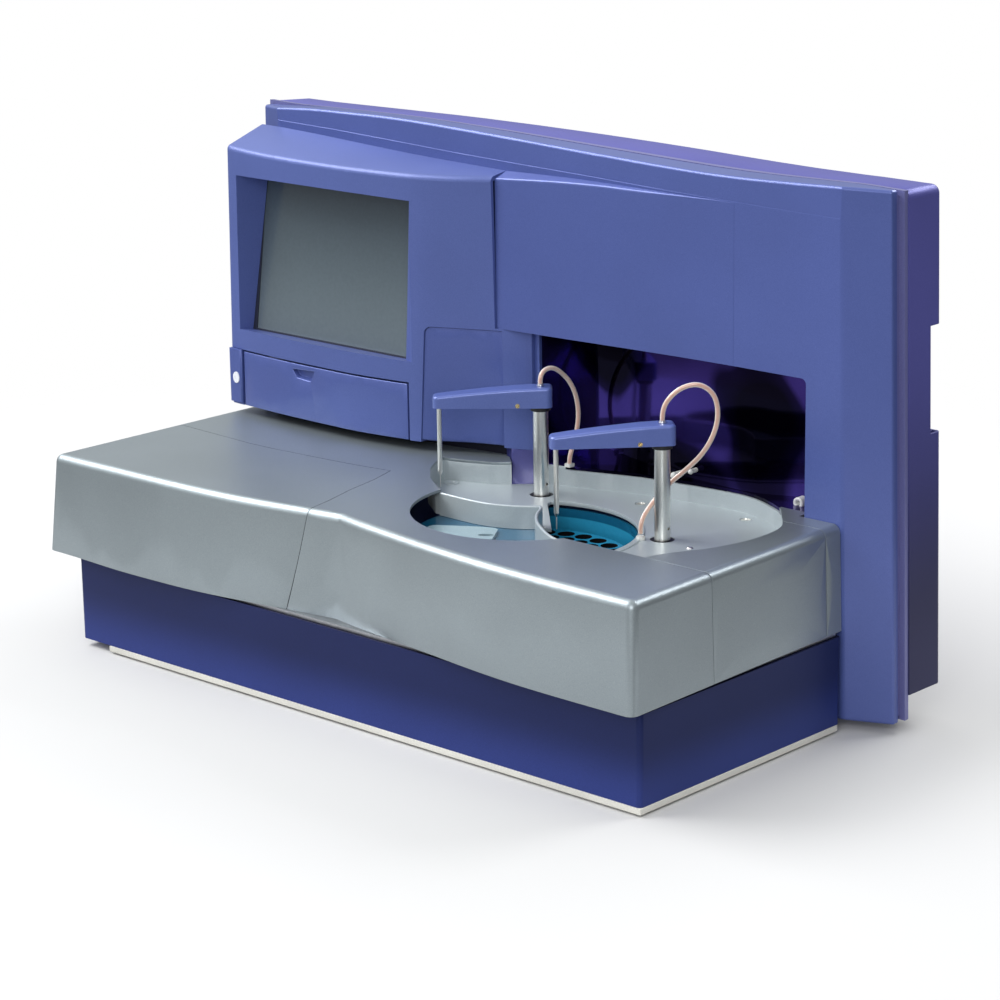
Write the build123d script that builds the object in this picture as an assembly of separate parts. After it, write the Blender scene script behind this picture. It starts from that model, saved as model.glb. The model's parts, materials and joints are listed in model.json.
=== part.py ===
from build123d import *
import math
import os

# ---------------------------------------------------------------------------
# Bench-top chemistry analyzer.  Lengths in millimetres, +Z up.
# Bench frame used below: the origin is the front right bottom corner of the
# blue base cabinet, X runs right, Y runs back, Z runs up.  Every piece is
# shifted once, at the end, so that the origin lies under the middle of the
# whole machine on the surface it stands on.
# ---------------------------------------------------------------------------
SHIFT_X, SHIFT_Y, SHIFT_Z = 395.4, -191.04, 8.5

# base
BASE_W, BASE_D, BASE_H = 790.0, 306.0, 90.5
SHEET = 3.0                      # wall of the base and of the moulded covers
PLATE_BOT, PLATE_TOP = -6.0, 0.0  # light plate under the base
FOOT_R, FOOT_H = 14.0, 2.5
# deck
SKIRT_Z, DECK_Z = 94.5, 202.0    # lower edge of the skirt, deck surface
DECK_EDGE_R = 9.0
SEAM = 0.6                       # gap between two covers
# sunken working bay and its round well
BAY_Z = 178.0
BAY_FLOOR = 3.0
WELL_X, WELL_Y, WELL_R = -283.0, 157.0, 114.0
WELL_LINER_TOP, WELL_FLOOR_Z = 171.5, 99.0
# carousel
CAR_R, CAR_TOP, CAR_BOT = 107.0, 151.0, 121.0
HOLE_R, OUTER_PITCH_R, OUTER_N = 8.9, 94.0, 28
INNER_PITCH_R, INNER_N, INNER_HOLE_R = 78.0, 28, 7.0
# columns and arms
COL_R, BUSH_GAP = 8.0, 0.05
L_COL = (-364.0, 273.0)
R_COL = (-160.0, 224.5)
L_ARM_BOT, L_ARM_TOP = 273.0, 294.0
R_ARM_BOT, R_ARM_TOP = 275.8, 296.5
L_DIR, R_DIR = -138.35, -132.2   # direction of the arms at rest, degrees
ARM_REACH, ARM_TAIL, ARM_W = 105.0, 12.4, 25.6
L_NEEDLE_TIP, R_NEEDLE_TIP = 186.5, 192.0
L_LIFT, R_LIFT = 25.0, 40.0
TUBE_D = 5.0
# rear panel and casing
PANEL_Y, PANEL_SKIN = 310.0, 4.0
PANEL_BACK_Y = 337.0
RIM_Y0, RIM_Y1 = 342.0, 348.0
CASING_BACK_Y = 401.5
OPEN_X0, OPEN_X1, OPEN_Z0, OPEN_Z1 = -398.0, -50.0, 170.0, 341.0
RECESS_BACK_Y = 356.0
# monitor housing
HOUSING_BOT, HOUSING_BACK_Y = 212.0, 309.8
SCREEN_X0, SCREEN_X1, SCREEN_Z0, SCREEN_Z1 = -796.0, -522.0, 298.7, 471.5
SCREEN_TILT = 7.64
DRAWER_X0, DRAWER_X1, DRAWER_Z0, DRAWER_Z1 = -789.4, -537.0, 212.3, 273.6
DRAWER_GAP = 2.1
DRAWER_TRAVEL = 90.0
BUTTON_TRAVEL = 2.0
LID_TRAVEL = 120.0
# moving fits
RUN = 0.05                       # radial clearance of shafts in their bushes

parts = {}


def add(name, *solids):
    out = []
    for s in solids:
        out.extend(s.solids())
    parts[name] = out


# ---------------------------------------------------------------- helpers
def face_of(points):
    return Face(Wire.make_polygon([Vector(*p) for p in points], close=True))


def prism(pts, z0, z1):
    """Upright prism over a plan polygon."""
    return Solid.extrude(face_of([(x, y, z0) for x, y in pts]), Vector(0, 0, z1 - z0))


def yprism(pts, y0, y1):
    """Prism along Y over an X-Z polygon."""
    return Solid.extrude(face_of([(x, y0, z) for x, z in pts]), Vector(0, y1 - y0, 0))


def xprism(pts, x0, x1):
    """Prism along X over a Y-Z polygon."""
    return Solid.extrude(face_of([(x0, y, z) for y, z in pts]), Vector(x1 - x0, 0, 0))


def box(x0, x1, y0, y1, z0, z1):
    return Pos((x0 + x1) / 2, (y0 + y1) / 2, (z0 + z1) / 2) * Box(x1 - x0, y1 - y0, z1 - z0)


def zcyl(x, y, r, z0, z1):
    return Pos(x, y, (z0 + z1) / 2) * Cylinder(r, z1 - z0)


def ycyl(x, z, r, y0, y1):
    return Pos(x, (y0 + y1) / 2, z) * Rot(90, 0, 0) * Cylinder(r, y1 - y0)


def xcyl(y, z, r, x0, x1):
    return Pos((x0 + x1) / 2, y, z) * Rot(0, 90, 0) * Cylinder(r, x1 - x0)


def ruled(bottom, top):
    """Straight-sided body between two plan polygons: (points, z) each."""
    a = Wire.make_polygon([Vector(x, y, bottom[1]) for x, y in bottom[0]], close=True)
    b = Wire.make_polygon([Vector(x, y, top[1]) for x, y in top[0]], close=True)
    return Solid.make_loft([a, b], True)


def grow(pts, d):
    """Move each side of a closed polygon outwards by d (points run either way)."""
    n = len(pts)
    area = sum(pts[i][0] * pts[(i + 1) % n][1] - pts[(i + 1) % n][0] * pts[i][1] for i in range(n))
    s = 1.0 if area > 0 else -1.0
    out = []
    for i in range(n):
        (ax, ay), (bx, by), (cx, cy) = pts[i - 1], pts[i], pts[(i + 1) % n]
        u = (bx - ax, by - ay)
        v = (cx - bx, cy - by)
        lu, lv = math.hypot(*u), math.hypot(*v)
        n1 = (s * u[1] / lu, -s * u[0] / lu)
        n2 = (s * v[1] / lv, -s * v[0] / lv)
        m = (n1[0] + n2[0], n1[1] + n2[1])
        k = 2 * d / (m[0] ** 2 + m[1] ** 2)
        out.append((bx + m[0] * k, by + m[1] * k))
    return out


def lerp_table(table, x):
    if x <= table[0][0]:
        return table[0][1]
    for (x0, v0), (x1, v1) in zip(table, table[1:]):
        if x <= x1:
            return v0 + (v1 - v0) * (x - x0) / (x1 - x0)
    return table[-1][1]


def round_edges(solid, edges, r):
    return solid.fillet(r, edges)


def edge_mid(e):
    p = e.position_at(0.5)
    return p.X, p.Y, p.Z


# ------------------------------------------------------------------- base
outer = box(-BASE_W, 0, 0, BASE_D, 0, BASE_H)
outer = outer.solid()
outer = round_edges(outer, outer.edges().filter_by(Axis.Z), 5)
base = outer - box(-BASE_W + SHEET, -SHEET, SHEET, BASE_D - SHEET, SHEET, BASE_H + 1)
add("base_cabinet", base)
add("base_plate", box(-745, 1.5, -1.5, 300, PLATE_BOT, PLATE_TOP))
add("rubber_feet", *[zcyl(x, y, FOOT_R, PLATE_BOT - FOOT_H, PLATE_BOT)
                     for x in (-715, -30) for y in (28, 272)])

# ------------------------------------------------------------------- deck
FRONT_TOP_L = [(-818, -4.9), (-792, -4.9), (-767, -4.6), (-744, -4), (-704, -3.5), (-664, -3), (-588, -1),
               (-520, 5), (-457, 15), (-409, 22)]
FRONT_TOP_R = [(-409, 22), (-387, 17), (-336, 8.5), (-307, 4), (-230, -5.5), (-162, -10.5), (-97, -12.5),
               (-38, -12.8), (3, -13)]
FRONT_BOT_L = [(-829, -9.6), (-800, -10), (-766, -11), (-740, -12.5), (-700, -14), (-657, -13.5),
               (-585, -10), (-520, -1), (-473, 7), (-411, 16.5)]
FRONT_BOT_R = [(-411, 16.5), (-387, 12), (-308, 2), (-231, -8), (-158, -16), (-97, -18.8), (-36, -19.3), (7, -19.5)]
RIGHT_BACK_TOP, RIGHT_BACK_BOT = (-6, 309.5), (-2.5, 309.5)
LEFT_BACK_TOP, LEFT_BACK_BOT = (-813, 309.5), (-825, 309.5)


def deck_wire(front_l, front_r, back_right, back_left, z, dx=0.0, dy=0.0):
    fl = [Vector(x + (dx if i < 1 else 0), y + dy, z) for i, (x, y) in enumerate(front_l)]
    fr = [Vector(x - (dx if i == len(front_r) - 1 else 0), y + dy, z) for i, (x, y) in enumerate(front_r)]
    fl[-1] = Vector(front_l[-1][0], front_l[-1][1] + dy, z)
    fr[0] = fl[-1]
    br = Vector(back_right[0] - dx, back_right[1], z)
    bl = Vector(back_left[0] + dx, back_left[1], z)
    return Wire([Edge.make_spline(fl), Edge.make_spline(fr), Edge.make_line(fr[-1], br),
                 Edge.make_line(br, bl), Edge.make_line(bl, fl[0])])


deck = Solid.make_loft([
    deck_wire(FRONT_BOT_L, FRONT_BOT_R, RIGHT_BACK_BOT, LEFT_BACK_BOT, SKIRT_Z),
    deck_wire(FRONT_TOP_L, FRONT_TOP_R, RIGHT_BACK_TOP, LEFT_BACK_TOP, DECK_Z)], True)
vert = [e for e in deck.edges() if abs(edge_mid(e)[2] - (SKIRT_Z + DECK_Z) / 2) < 2]
corner = [e for e in vert if (edge_mid(e)[0] > -20 or edge_mid(e)[0] < -805) and edge_mid(e)[1] < 50]
deck = round_edges(deck, corner, 9)
top_edges = [e for e in deck.edges() if abs(edge_mid(e)[2] - DECK_Z) < 0.01 and edge_mid(e)[1] < 305]
deck = round_edges(deck, top_edges, DECK_EDGE_R)
cavity = Solid.make_loft([
    deck_wire(FRONT_BOT_L, FRONT_BOT_R, RIGHT_BACK_BOT, LEFT_BACK_BOT, SKIRT_Z - 1, SHEET, SHEET),
    deck_wire(FRONT_TOP_L, FRONT_TOP_R, RIGHT_BACK_TOP, LEFT_BACK_TOP, DECK_Z - SHEET, SHEET, SHEET)], True)
cav_vert = [e for e in cavity.edges() if abs(edge_mid(e)[2] - (SKIRT_Z + DECK_Z) / 2) < 6
            and (edge_mid(e)[0] > -20 or edge_mid(e)[0] < -800) and edge_mid(e)[1] < 50]
cavity = round_edges(cavity, cav_vert, 6)
cav_top = [e for e in cavity.edges() if abs(edge_mid(e)[2] - (DECK_Z - SHEET)) < 0.01 and edge_mid(e)[1] < 305]
cavity = round_edges(cavity, cav_top, DECK_EDGE_R - SHEET)
shell = deck - cavity

# plan outlines of the sunken bay (its rim is the edge of the covers)
BAY_LEFT = [(-397, 157), (-408, 162), (-416, 168), (-436, 182), (-450, 196), (-464, 211), (-475, 228),
            (-481, 240), (-484, 252)]
BAY_BACK = [(-478, 253), (-464, 257), (-440, 266), (-427, 272), (-417, 281), (-404, 293), (-390, 304),
            (-375, 311), (-349, 318), (-327, 325), (-285, 338), (-255, 343), (-224, 347), (-189, 350.5),
            (-163, 351.5), (-146, 349), (-131, 344), (-114, 336), (-91, 323)]
BAY_RIGHT = [(-75, 306), (-60, 288), (-48, 271), (-43, 256), (-41, 235), (-41.5, 213), (-46, 190), (-53, 168),
             (-64, 146), (-75, 124), (-80, 103)]
BAY = BAY_LEFT + BAY_BACK + BAY_RIGHT + [(-183, 103)]
# the splash ridge separates the covered front of the well from the open rear
RIDGE = [(-396, 157), (-370, 156.5), (-343, 157), (-320, 162), (-301, 171), (-287, 182), (-283, 184),
         (-278, 180), (-270, 167), (-259, 152), (-245, 138), (-229, 126), (-203, 110), (-183, 103)]
# the part of the well that is open from above
OPEN_WELL_CUT = [(-278, 178), (-270, 165), (-259, 150), (-245, 136), (-229, 124), (-203, 108), (-178, 98),
                 (-120, 60), (-60, 157), (-120, 300), (-283, 330), (-345, 290), (-335, 250), (-268, 181)]



def bay_wire(d, z):
    """Outline of the bay, moved outwards by d: two smooth runs, one short corner and straight front lines."""
    g = [Vector(x, y, z) for x, y in (grow(BAY, d) if d else BAY)]
    n = len(BAY_LEFT)
    return Wire([Edge.make_spline(g[:n]), Edge.make_line(g[n - 1], g[n]), Edge.make_spline(g[n:-1]),
                 Edge.make_line(g[-2], g[-1]), Edge.make_line(g[-1], g[0])])


def bay_prism(d, z0, z1):
    return Solid.extrude(Face(bay_wire(d, z0)), Vector(0, 0, z1 - z0))


bay_cut = bay_prism(0, SKIRT_Z - 10, DECK_Z + 10)
well_cut = zcyl(WELL_X, WELL_Y, WELL_R, SKIRT_Z - 10, DECK_Z + 10)

# seam of the lift-off front left cover: (x, y) on top; its right edge slants on the front skirt
LID_TOP = [(-900, 172), (-806, 169), (-687, 161), (-650, 161.5), (-612, 164), (-580, 166), (-548, 168.5),
           (-520, 171.5), (-489, 176), (-477, 139), (-468, 96), (-456, 56), (-449, 26), (-446, 12),
           (-441, -60), (-900, -60)]
LID_BOT = LID_TOP[:-4] + [(-462, 26), (-474, 7), (-478, -60), (-900, -60)]
lid_zone = ruled((LID_BOT, SKIRT_Z - 2), (LID_TOP, DECK_Z + 2))
lid_zone_gap = ruled((grow(LID_BOT, SEAM), SKIRT_Z - 2.5), (grow(LID_TOP, SEAM), DECK_Z + 2.5))
add("deck_flap_cover", shell & lid_zone)

rear_zone = box(-76, 80, 103.6, 284.7, 60, 260) + prism([(-79.6, 103.6), (-30, 103.6), (-30, 240), (-60, 240)], 60, 260)
rear_gap = prism([(-182.6, 103), (80, 103), (80, 500), (-182.6, 500)], 60, 260)
trim_zone = prism([(-89, 285.3), (80, 285.3), (80, 309.5), (-89, 309.5)], 60, 260)

# pillar under the right end of the monitor housing
# it leans back from the bay floor to the underside of the housing
PILLAR = [(-414.6, 283.0), (-392.0, 302.6), (-392.0, 309.4), (-439.8, 309.4), (-439.8, 302.0), (-430.0, 297.0)]
PILLAR_TOP = [(-427.0, 296.5), (-402.0, 307.0), (-402.0, 309.4), (-439.8, 309.4), (-439.8, 303.0), (-433.0, 299.5)]
PILLAR_GAP = grow(PILLAR, 0.3)

main_cover = shell - lid_zone_gap - bay_cut - well_cut - rear_gap - prism(PILLAR_GAP, 60, 300)
main_cover = main_cover.solids().sort_by(SortBy.VOLUME)[-1]
add("deck_main_cover", main_cover)
rear_cover = (shell & prism([(-180, 103.6), (80, 103.6), (80, 284.7), (-180, 284.7)], 60, 260)) - bay_cut
rear_cover = rear_cover.solids().sort_by(SortBy.VOLUME)[-1]
add("deck_rear_cover", rear_cover)
rear_trim = (shell & trim_zone) - bay_cut
rear_trim = rear_trim.solids().sort_by(SortBy.VOLUME)[-1]
# its surface runs on through the opening of the panel
tongue = prism([(-90, 309.5), (-56, 309.5), (-56, 325), (-90, 325)], DECK_Z - SHEET, DECK_Z) - bay_cut
add("deck_rear_trim", (rear_trim + tongue).solids().sort_by(SortBy.VOLUME)[-1])

# ------------------------------------------------- sunken tray and the well
tray = bay_prism(3.0, BAY_Z - BAY_FLOOR, DECK_Z - SHEET - 0.05) - bay_prism(0, BAY_Z, DECK_Z + 5)
tray = tray - prism([(-500, 60), (-60, 60), (-60, 102.9), (-500, 102.9)], 160, 260)
# the floor stops at the ridge: nothing of it lies in front
front_of_ridge = prism([(-420, 60)] + [(-420, 157)] + [(x, y) for x, y in RIDGE] + [(-183, 60)], 160, 260)
tray = tray - front_of_ridge
open_well = zcyl(WELL_X, WELL_Y, WELL_R, 160, 178.5 + 20) & prism(OPEN_WELL_CUT, 160, 260)
tray = tray - open_well
tray = tray.solids().sort_by(SortBy.VOLUME)[-1]
# raised lip round the opening of the well
lip = (zcyl(WELL_X, WELL_Y, WELL_R + 6, BAY_Z, BAY_Z + 1.2) - zcyl(WELL_X, WELL_Y, WELL_R, BAY_Z - 1, BAY_Z + 3))
lip = lip & prism([(-176, 104), (-120, 104), (-120, 330), (-330, 330), (-338, 262), (-283, 200)], 170, 190)
tray = tray + lip - zcyl(-176, 210, 4.7, BAY_Z, 190) - zcyl(-176, 210, 3.1, 160, 190)
for (cx, cy) in (L_COL, R_COL):
    tray = tray - zcyl(cx, cy, 12.5, 160, 190)
for (sx, sy) in ((-260.6, 311.1), (-140.7, 332.8)):
    tray = tray - zcyl(sx, sy, 1.6, 160, 190) - zcyl(sx, sy, 6.3, BAY_Z - 1.8, 190)
tray = tray - zcyl(-118.8, 217.1, 1.2, 160, 190)
tray = tray - zcyl(-467.4, 245, 5.0, 160, 190)
tray = tray - prism(PILLAR_GAP, BAY_Z, 300)
# clear of the liner that closes the opening from behind
tray = tray - box(OPEN_X0 - 3.3, OPEN_X1 + 3.3, PANEL_Y + PANEL_SKIN - 0.3, 400, 195.7, 300)
add("arm_bay_tray", tray.solids().sort_by(SortBy.VOLUME)[-1])


def thick_path(path, t, z0, z1):
    """Upright wall of thickness t along a plan path."""
    left, right = [], []
    for i, (x, y) in enumerate(path):
        ax, ay = path[max(i - 1, 0)]
        bx, by = path[min(i + 1, len(path) - 1)]
        d = math.hypot(bx - ax, by - ay)
        nx, ny = -(by - ay) / d, (bx - ax) / d
        left.append((x + nx * t / 2, y + ny * t / 2))
        right.append((x - nx * t / 2, y - ny * t / 2))
    return prism(left + right[::-1], z0, z1)


def smooth_wall(path, t, z0, z1):
    """Upright wall of thickness t along a smooth plan curve."""
    left, right = [], []
    for i, (x, y) in enumerate(path):
        ax, ay = path[max(i - 1, 0)]
        bx, by = path[min(i + 1, len(path) - 1)]
        d = math.hypot(bx - ax, by - ay)
        nx, ny = -(by - ay) / d, (bx - ax) / d
        left.append(Vector(x + nx * t / 2, y + ny * t / 2, z0))
        right.append(Vector(x - nx * t / 2, y - ny * t / 2, z0))
    w = Wire([Edge.make_spline(left), Edge.make_line(left[-1], right[-1]), Edge.make_spline(right[::-1]),
              Edge.make_line(right[0], left[0])])
    return Solid.extrude(Face(w), Vector(0, 0, z1 - z0))


RIDGE_IN = [(x, y - 2.1) if x < -285 else (x - 1.6, y - 1.6) for x, y in RIDGE]
k_tip = 6
ridge_a = smooth_wall(RIDGE_IN[:k_tip + 1], 3.4, 175.3, 199.5)
ridge_b = smooth_wall(RIDGE_IN[k_tip:], 3.4, 175.3, 199.5)
ridge = ridge_a + ridge_b + zcyl(RIDGE_IN[k_tip][0], RIDGE_IN[k_tip][1], 1.7, 175.3, 199.5)
ridge = ridge & zcyl(WELL_X, WELL_Y, WELL_R - 0.3, 170, 210)
ridge = ridge - (bay_prism(0, 170, BAY_Z + 0.05) - open_well - front_of_ridge)
ridge = ridge.solids().sort_by(SortBy.VOLUME)[-1]
ridge_top = [e for e in ridge.edges() if edge_mid(e)[2] > 199.4]
for rr in (1.5, 1.2, 0.9):
    try:
        ridge = round_edges(ridge, ridge_top, rr).solid()
        break
    except Exception:
        print("splash wall edge", rr, "not rounded")
add("well_splash_wall", ridge)

liner = zcyl(WELL_X, WELL_Y, WELL_R + 2.5, WELL_FLOOR_Z, WELL_LINER_TOP) - zcyl(WELL_X, WELL_Y, WELL_R - 0.5, WELL_FLOOR_Z + 3, 200)
liner = liner - zcyl(WELL_X, WELL_Y, 11, 90, 110)
add("well_liner", liner)

# translucent cover over the front of the well
cres = zcyl(WELL_X, WELL_Y, WELL_R - 0.3, 172.0, 175.0)
cres = cres & prism([(-420, 40), (-420, 153.5)] + [(x, y - 0.4) for x, y in RIDGE] + [(-183, 40)], 160, 190)
port_hole = Pos(-304, 123.2, 173.5) * Rot(0, 0, 39.7) * extrude(Ellipse(8.0, 4.2), amount=10, both=True)
cres = cres - port_hole
# raised plate on the cover, its back edge slanting towards the middle
BLOCK = [(-367, 100), (-370, 110), (-369.5, 115), (-366.5, 118.5), (-330, 141), (-320, 146), (-314, 147.6), (-309, 146.5),
         (-305.5, 141.5), (-289, 116), (-320, 92), (-360, 92)]
block = prism(BLOCK, 175.0, 178.2) - port_hole
add("well_cover", cres.solids().sort_by(SortBy.VOLUME)[-1], block)

# ------------------------------------------------------------ inner frame
plates = [box(-786, -4, 4, 40, BASE_H, 94.4), box(-786, -770, 40, 150, BASE_H, 94.4),
          box(-786, -440, 150, 302, BASE_H, 94.4), box(-440, -313, 40, 302, BASE_H, 94.4),
          box(-253, -150, 40, 302, BASE_H, 94.4), box(-313, -253, 40, 127, BASE_H, 94.4),
          box(-313, -253, 187, 302, BASE_H, 94.4), box(-150, -40, 40, 60, BASE_H, 94.4),
          box(-150, -40, 200, 302, BASE_H, 94.4), box(-40, -4, 40, 302, BASE_H, 94.4)]
posts = [box(x, x + 12, y, y + 12, 94.4, DECK_Z - SHEET) for x, y in
         ((-780, 20), (-500, 20), (-780, 200), (-520, 200), (-50, 20), (-60, 84), (-470, 60))]
uprights = [box(-700, -670, 290, 302, 94.4, 198.9), box(-35, -23, 290, 302, 94.4, 190)]
add("chassis_frame", *plates, *posts, *uprights)

# --------------------------------------------------------------- carousel
carousel = zcyl(WELL_X, WELL_Y, CAR_R, CAR_BOT, CAR_TOP) - zcyl(WELL_X, WELL_Y, 12, CAR_BOT - 1, CAR_TOP + 1)
for i in range(OUTER_N):
    a = 2 * math.pi * i / OUTER_N + math.radians(2.3)
    carousel = carousel - zcyl(WELL_X + OUTER_PITCH_R * math.cos(a), WELL_Y + OUTER_PITCH_R * math.sin(a),
                               HOLE_R, CAR_BOT - 1, CAR_TOP + 1)
for i in range(INNER_N):
    a = 2 * math.pi * i / INNER_N + math.radians(7.7)
    carousel = carousel - zcyl(WELL_X + INNER_PITCH_R * math.cos(a), WELL_Y + INNER_PITCH_R * math.sin(a),
                               INNER_HOLE_R, CAR_BOT - 1, CAR_TOP + 1)
carousel = carousel - (zcyl(WELL_X, WELL_Y, 62, CAR_BOT + 4, CAR_TOP + 1) - zcyl(WELL_X, WELL_Y, 20, CAR_BOT, CAR_TOP + 1))
spindle = (zcyl(WELL_X, WELL_Y, 12, CAR_BOT, CAR_TOP) + zcyl(WELL_X, WELL_Y, 16, CAR_BOT - 6, CAR_BOT)
           + zcyl(WELL_X, WELL_Y, 5, 60, CAR_BOT - 6) + zcyl(WELL_X, WELL_Y, 18, CAR_TOP, CAR_TOP + 4))
add("reagent_carousel", carousel, spindle)
bottles = [zcyl(WELL_X + 41 * math.cos(a), WELL_Y + 41 * math.sin(a), 13, CAR_BOT + 4, CAR_TOP + 6)
           for a in [2 * math.pi * i / 8 + 0.2 for i in range(8)]]
add("reagent_bottles", *bottles)
bearing = (zcyl(WELL_X, WELL_Y, 10.8, WELL_FLOOR_Z - 2, WELL_FLOOR_Z + 9)
           + zcyl(WELL_X, WELL_Y, 26, 95.0, WELL_FLOOR_Z - 2)) - zcyl(WELL_X, WELL_Y, 5 + RUN, 80, 120)
motor = box(WELL_X - 28, WELL_X + 28, WELL_Y - 28, WELL_Y + 28, 30, 78) - zcyl(WELL_X, WELL_Y, 5.6, 55, 80)
motor_stand = (box(WELL_X - 40, WELL_X + 40, WELL_Y - 28, WELL_Y + 28, 78, 81) - zcyl(WELL_X, WELL_Y, 12, 70, 90)
               + box(WELL_X - 40, WELL_X - 37, WELL_Y - 28, WELL_Y + 28, 81, BASE_H)
               + box(WELL_X + 37, WELL_X + 40, WELL_Y - 28, WELL_Y + 28, 81, BASE_H))
add("carousel_motor", motor, motor_stand, bearing)

# -------------------------------------------------------- columns and arms


def unit(deg):
    return math.cos(math.radians(deg)), math.sin(math.radians(deg))


def place_arm(shape, col, deg):
    """Arms are drawn along +X from the column axis, then turned."""
    return Pos(col[0], col[1], 0) * Rot(0, 0, deg) * shape


def build_arm(side, col, deg, bot, top, tip):
    carriage_z = 102.0
    column = zcyl(col[0], col[1], COL_R, 98, bot + 4) + zcyl(col[0], col[1], 12, carriage_z + 14, carriage_z + 18)
    column = column - xcyl(col[1], 190, 1.6, col[0] - 12, col[0] + 12)
    add(side + "_column", column)
    # cover: hollow from below, its crowned top falls towards the tip, its corners are rounded
    w = ARM_W / 2
    end = ARM_REACH + 6.5
    plan = [(-ARM_TAIL, -w), (-ARM_TAIL, w), (20, w), (end, w - 2.6), (end, -w + 2.6), (20, -w)]
    body = prism(plan, bot, top + 10)
    upright = [e for e in body.edges().filter_by(Axis.Z) if edge_mid(e)[0] < 0 or edge_mid(e)[0] > 60]
    body = round_edges(body.solid(), upright, 6)
    crown = [(-30, 0.0), (-ARM_TAIL, 0.0), (10, -0.3), (35, -1.6), (60, -3.5), (85, -5.9), (end, -8.8), (end + 20, -11.0)]

    def under(drop, half):
        p = [Vector(x, -half, top + dz - drop) for x, dz in crown]
        lo_r, lo_l = Vector(p[-1].X, -half, bot - 30), Vector(p[0].X, -half, bot - 30)
        wr = Wire([Edge.make_spline(p), Edge.make_line(p[-1], lo_r), Edge.make_line(lo_r, lo_l), Edge.make_line(lo_l, p[0])])
        return Solid.extrude(Face(wr), Vector(0, 2 * half, 0))

    body = (body & under(0, 40)).solid()
    top_edges_ = [e for e in body.edges() if edge_mid(e)[2] > top - 12 and abs(e.tangent_at(0.5).Z) < 0.5]
    for rr in (3.0, 2.5, 2.0):
        try:
            body = round_edges(body, top_edges_, rr).solid()
            break
        except Exception:
            print("arm edge radius", rr, "not possible", side)
    inner = prism(grow(plan, -2.0), bot - 1, top + 10)
    hollow = inner & under(2.5, 40)
    cover = body - hollow
    cover = cover + zcyl(0, 0, 10.0, bot + 4, top - 2)
    cover = cover - zcyl(0, 0, 3.0, bot, top + 5)
    screw_x, screw_z = 23.6, bot + 2.9
    screw_hole = ycyl(screw_x, screw_z, 1.5, w - 7, w + 3)
    cover = cover - screw_hole
    add(side + "_arm_cover", place_arm(cover, col, deg))
    plate = prism(grow(plan, -2.3), bot + 0.2, bot + 4.6) - zcyl(0, 0, 10.3, bot + 3.9, bot + 6)
    plate = plate - zcyl(0, 0, COL_R, bot - 1, bot + 5) - zcyl(ARM_REACH, 0, 2.5, bot - 2, bot + 6)
    plate = plate - ycyl(screw_x, screw_z, 1.45, w - 7, w + 3)
    collar = zcyl(0, 0, 10.3, bot - 4.6, bot - 0.05) + zcyl(0, 0, 9.4, bot - 0.05, bot + 0.2) - zcyl(0, 0, COL_R, bot - 8, bot + 2)
    sheath_end = tip + 13
    z = zcyl(ARM_REACH, 0, 2.5, sheath_end + 4, bot + 8)
    cone = Pos(ARM_REACH, 0, sheath_end + 2) * Cone(0.9, 2.5, 4)
    needle = zcyl(ARM_REACH, 0, 0.6, tip + 1, sheath_end + 1)
    tip_cone = Pos(ARM_REACH, 0, tip + 0.5) * Cone(0.15, 0.6, 1)
    probe = z + cone + needle + tip_cone
    add(side + "_probe", place_arm(probe, col, deg))
    screw = ycyl(screw_x, screw_z, 1.45, w - 6.5, w + 0.05) + ycyl(screw_x, screw_z, 2.3, w + 0.05, w + 1.2)
    screw = screw - Pos(screw_x, w + 1.1, screw_z) * Rot(0, 35, 0) * Box(5.4, 0.9, 0.8)
    add(side + "_arm_chassis", place_arm(plate, col, deg), place_arm(collar, col, deg), place_arm(screw, col, deg))
    # swivel fitting on the turning axis: it rises and falls but does not turn
    swivel = zcyl(0, 0, 2.9, top - 1.5, top + 2.4) + zcyl(0, 0, 3.8, top + 0.3, top + 1.2)
    add(side + "_tube_swivel", place_arm(swivel, col, deg))


build_arm("left", L_COL, L_DIR, L_ARM_BOT, L_ARM_TOP, L_NEEDLE_TIP)
build_arm("right", R_COL, R_DIR, R_ARM_BOT, R_ARM_TOP, R_NEEDLE_TIP)

# collars where the columns leave the bay floor
collars = []
for cx, cy in (L_COL, R_COL):
    c = zcyl(cx, cy, 12.5, BAY_Z - 7, BAY_Z - 0.9) + zcyl(cx, cy, 10.2, BAY_Z - 0.9, BAY_Z + 0.3)
    collars.append(c - zcyl(cx, cy, COL_R + RUN, BAY_Z - 10, BAY_Z + 12))
add("column_collars", *collars)


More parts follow.
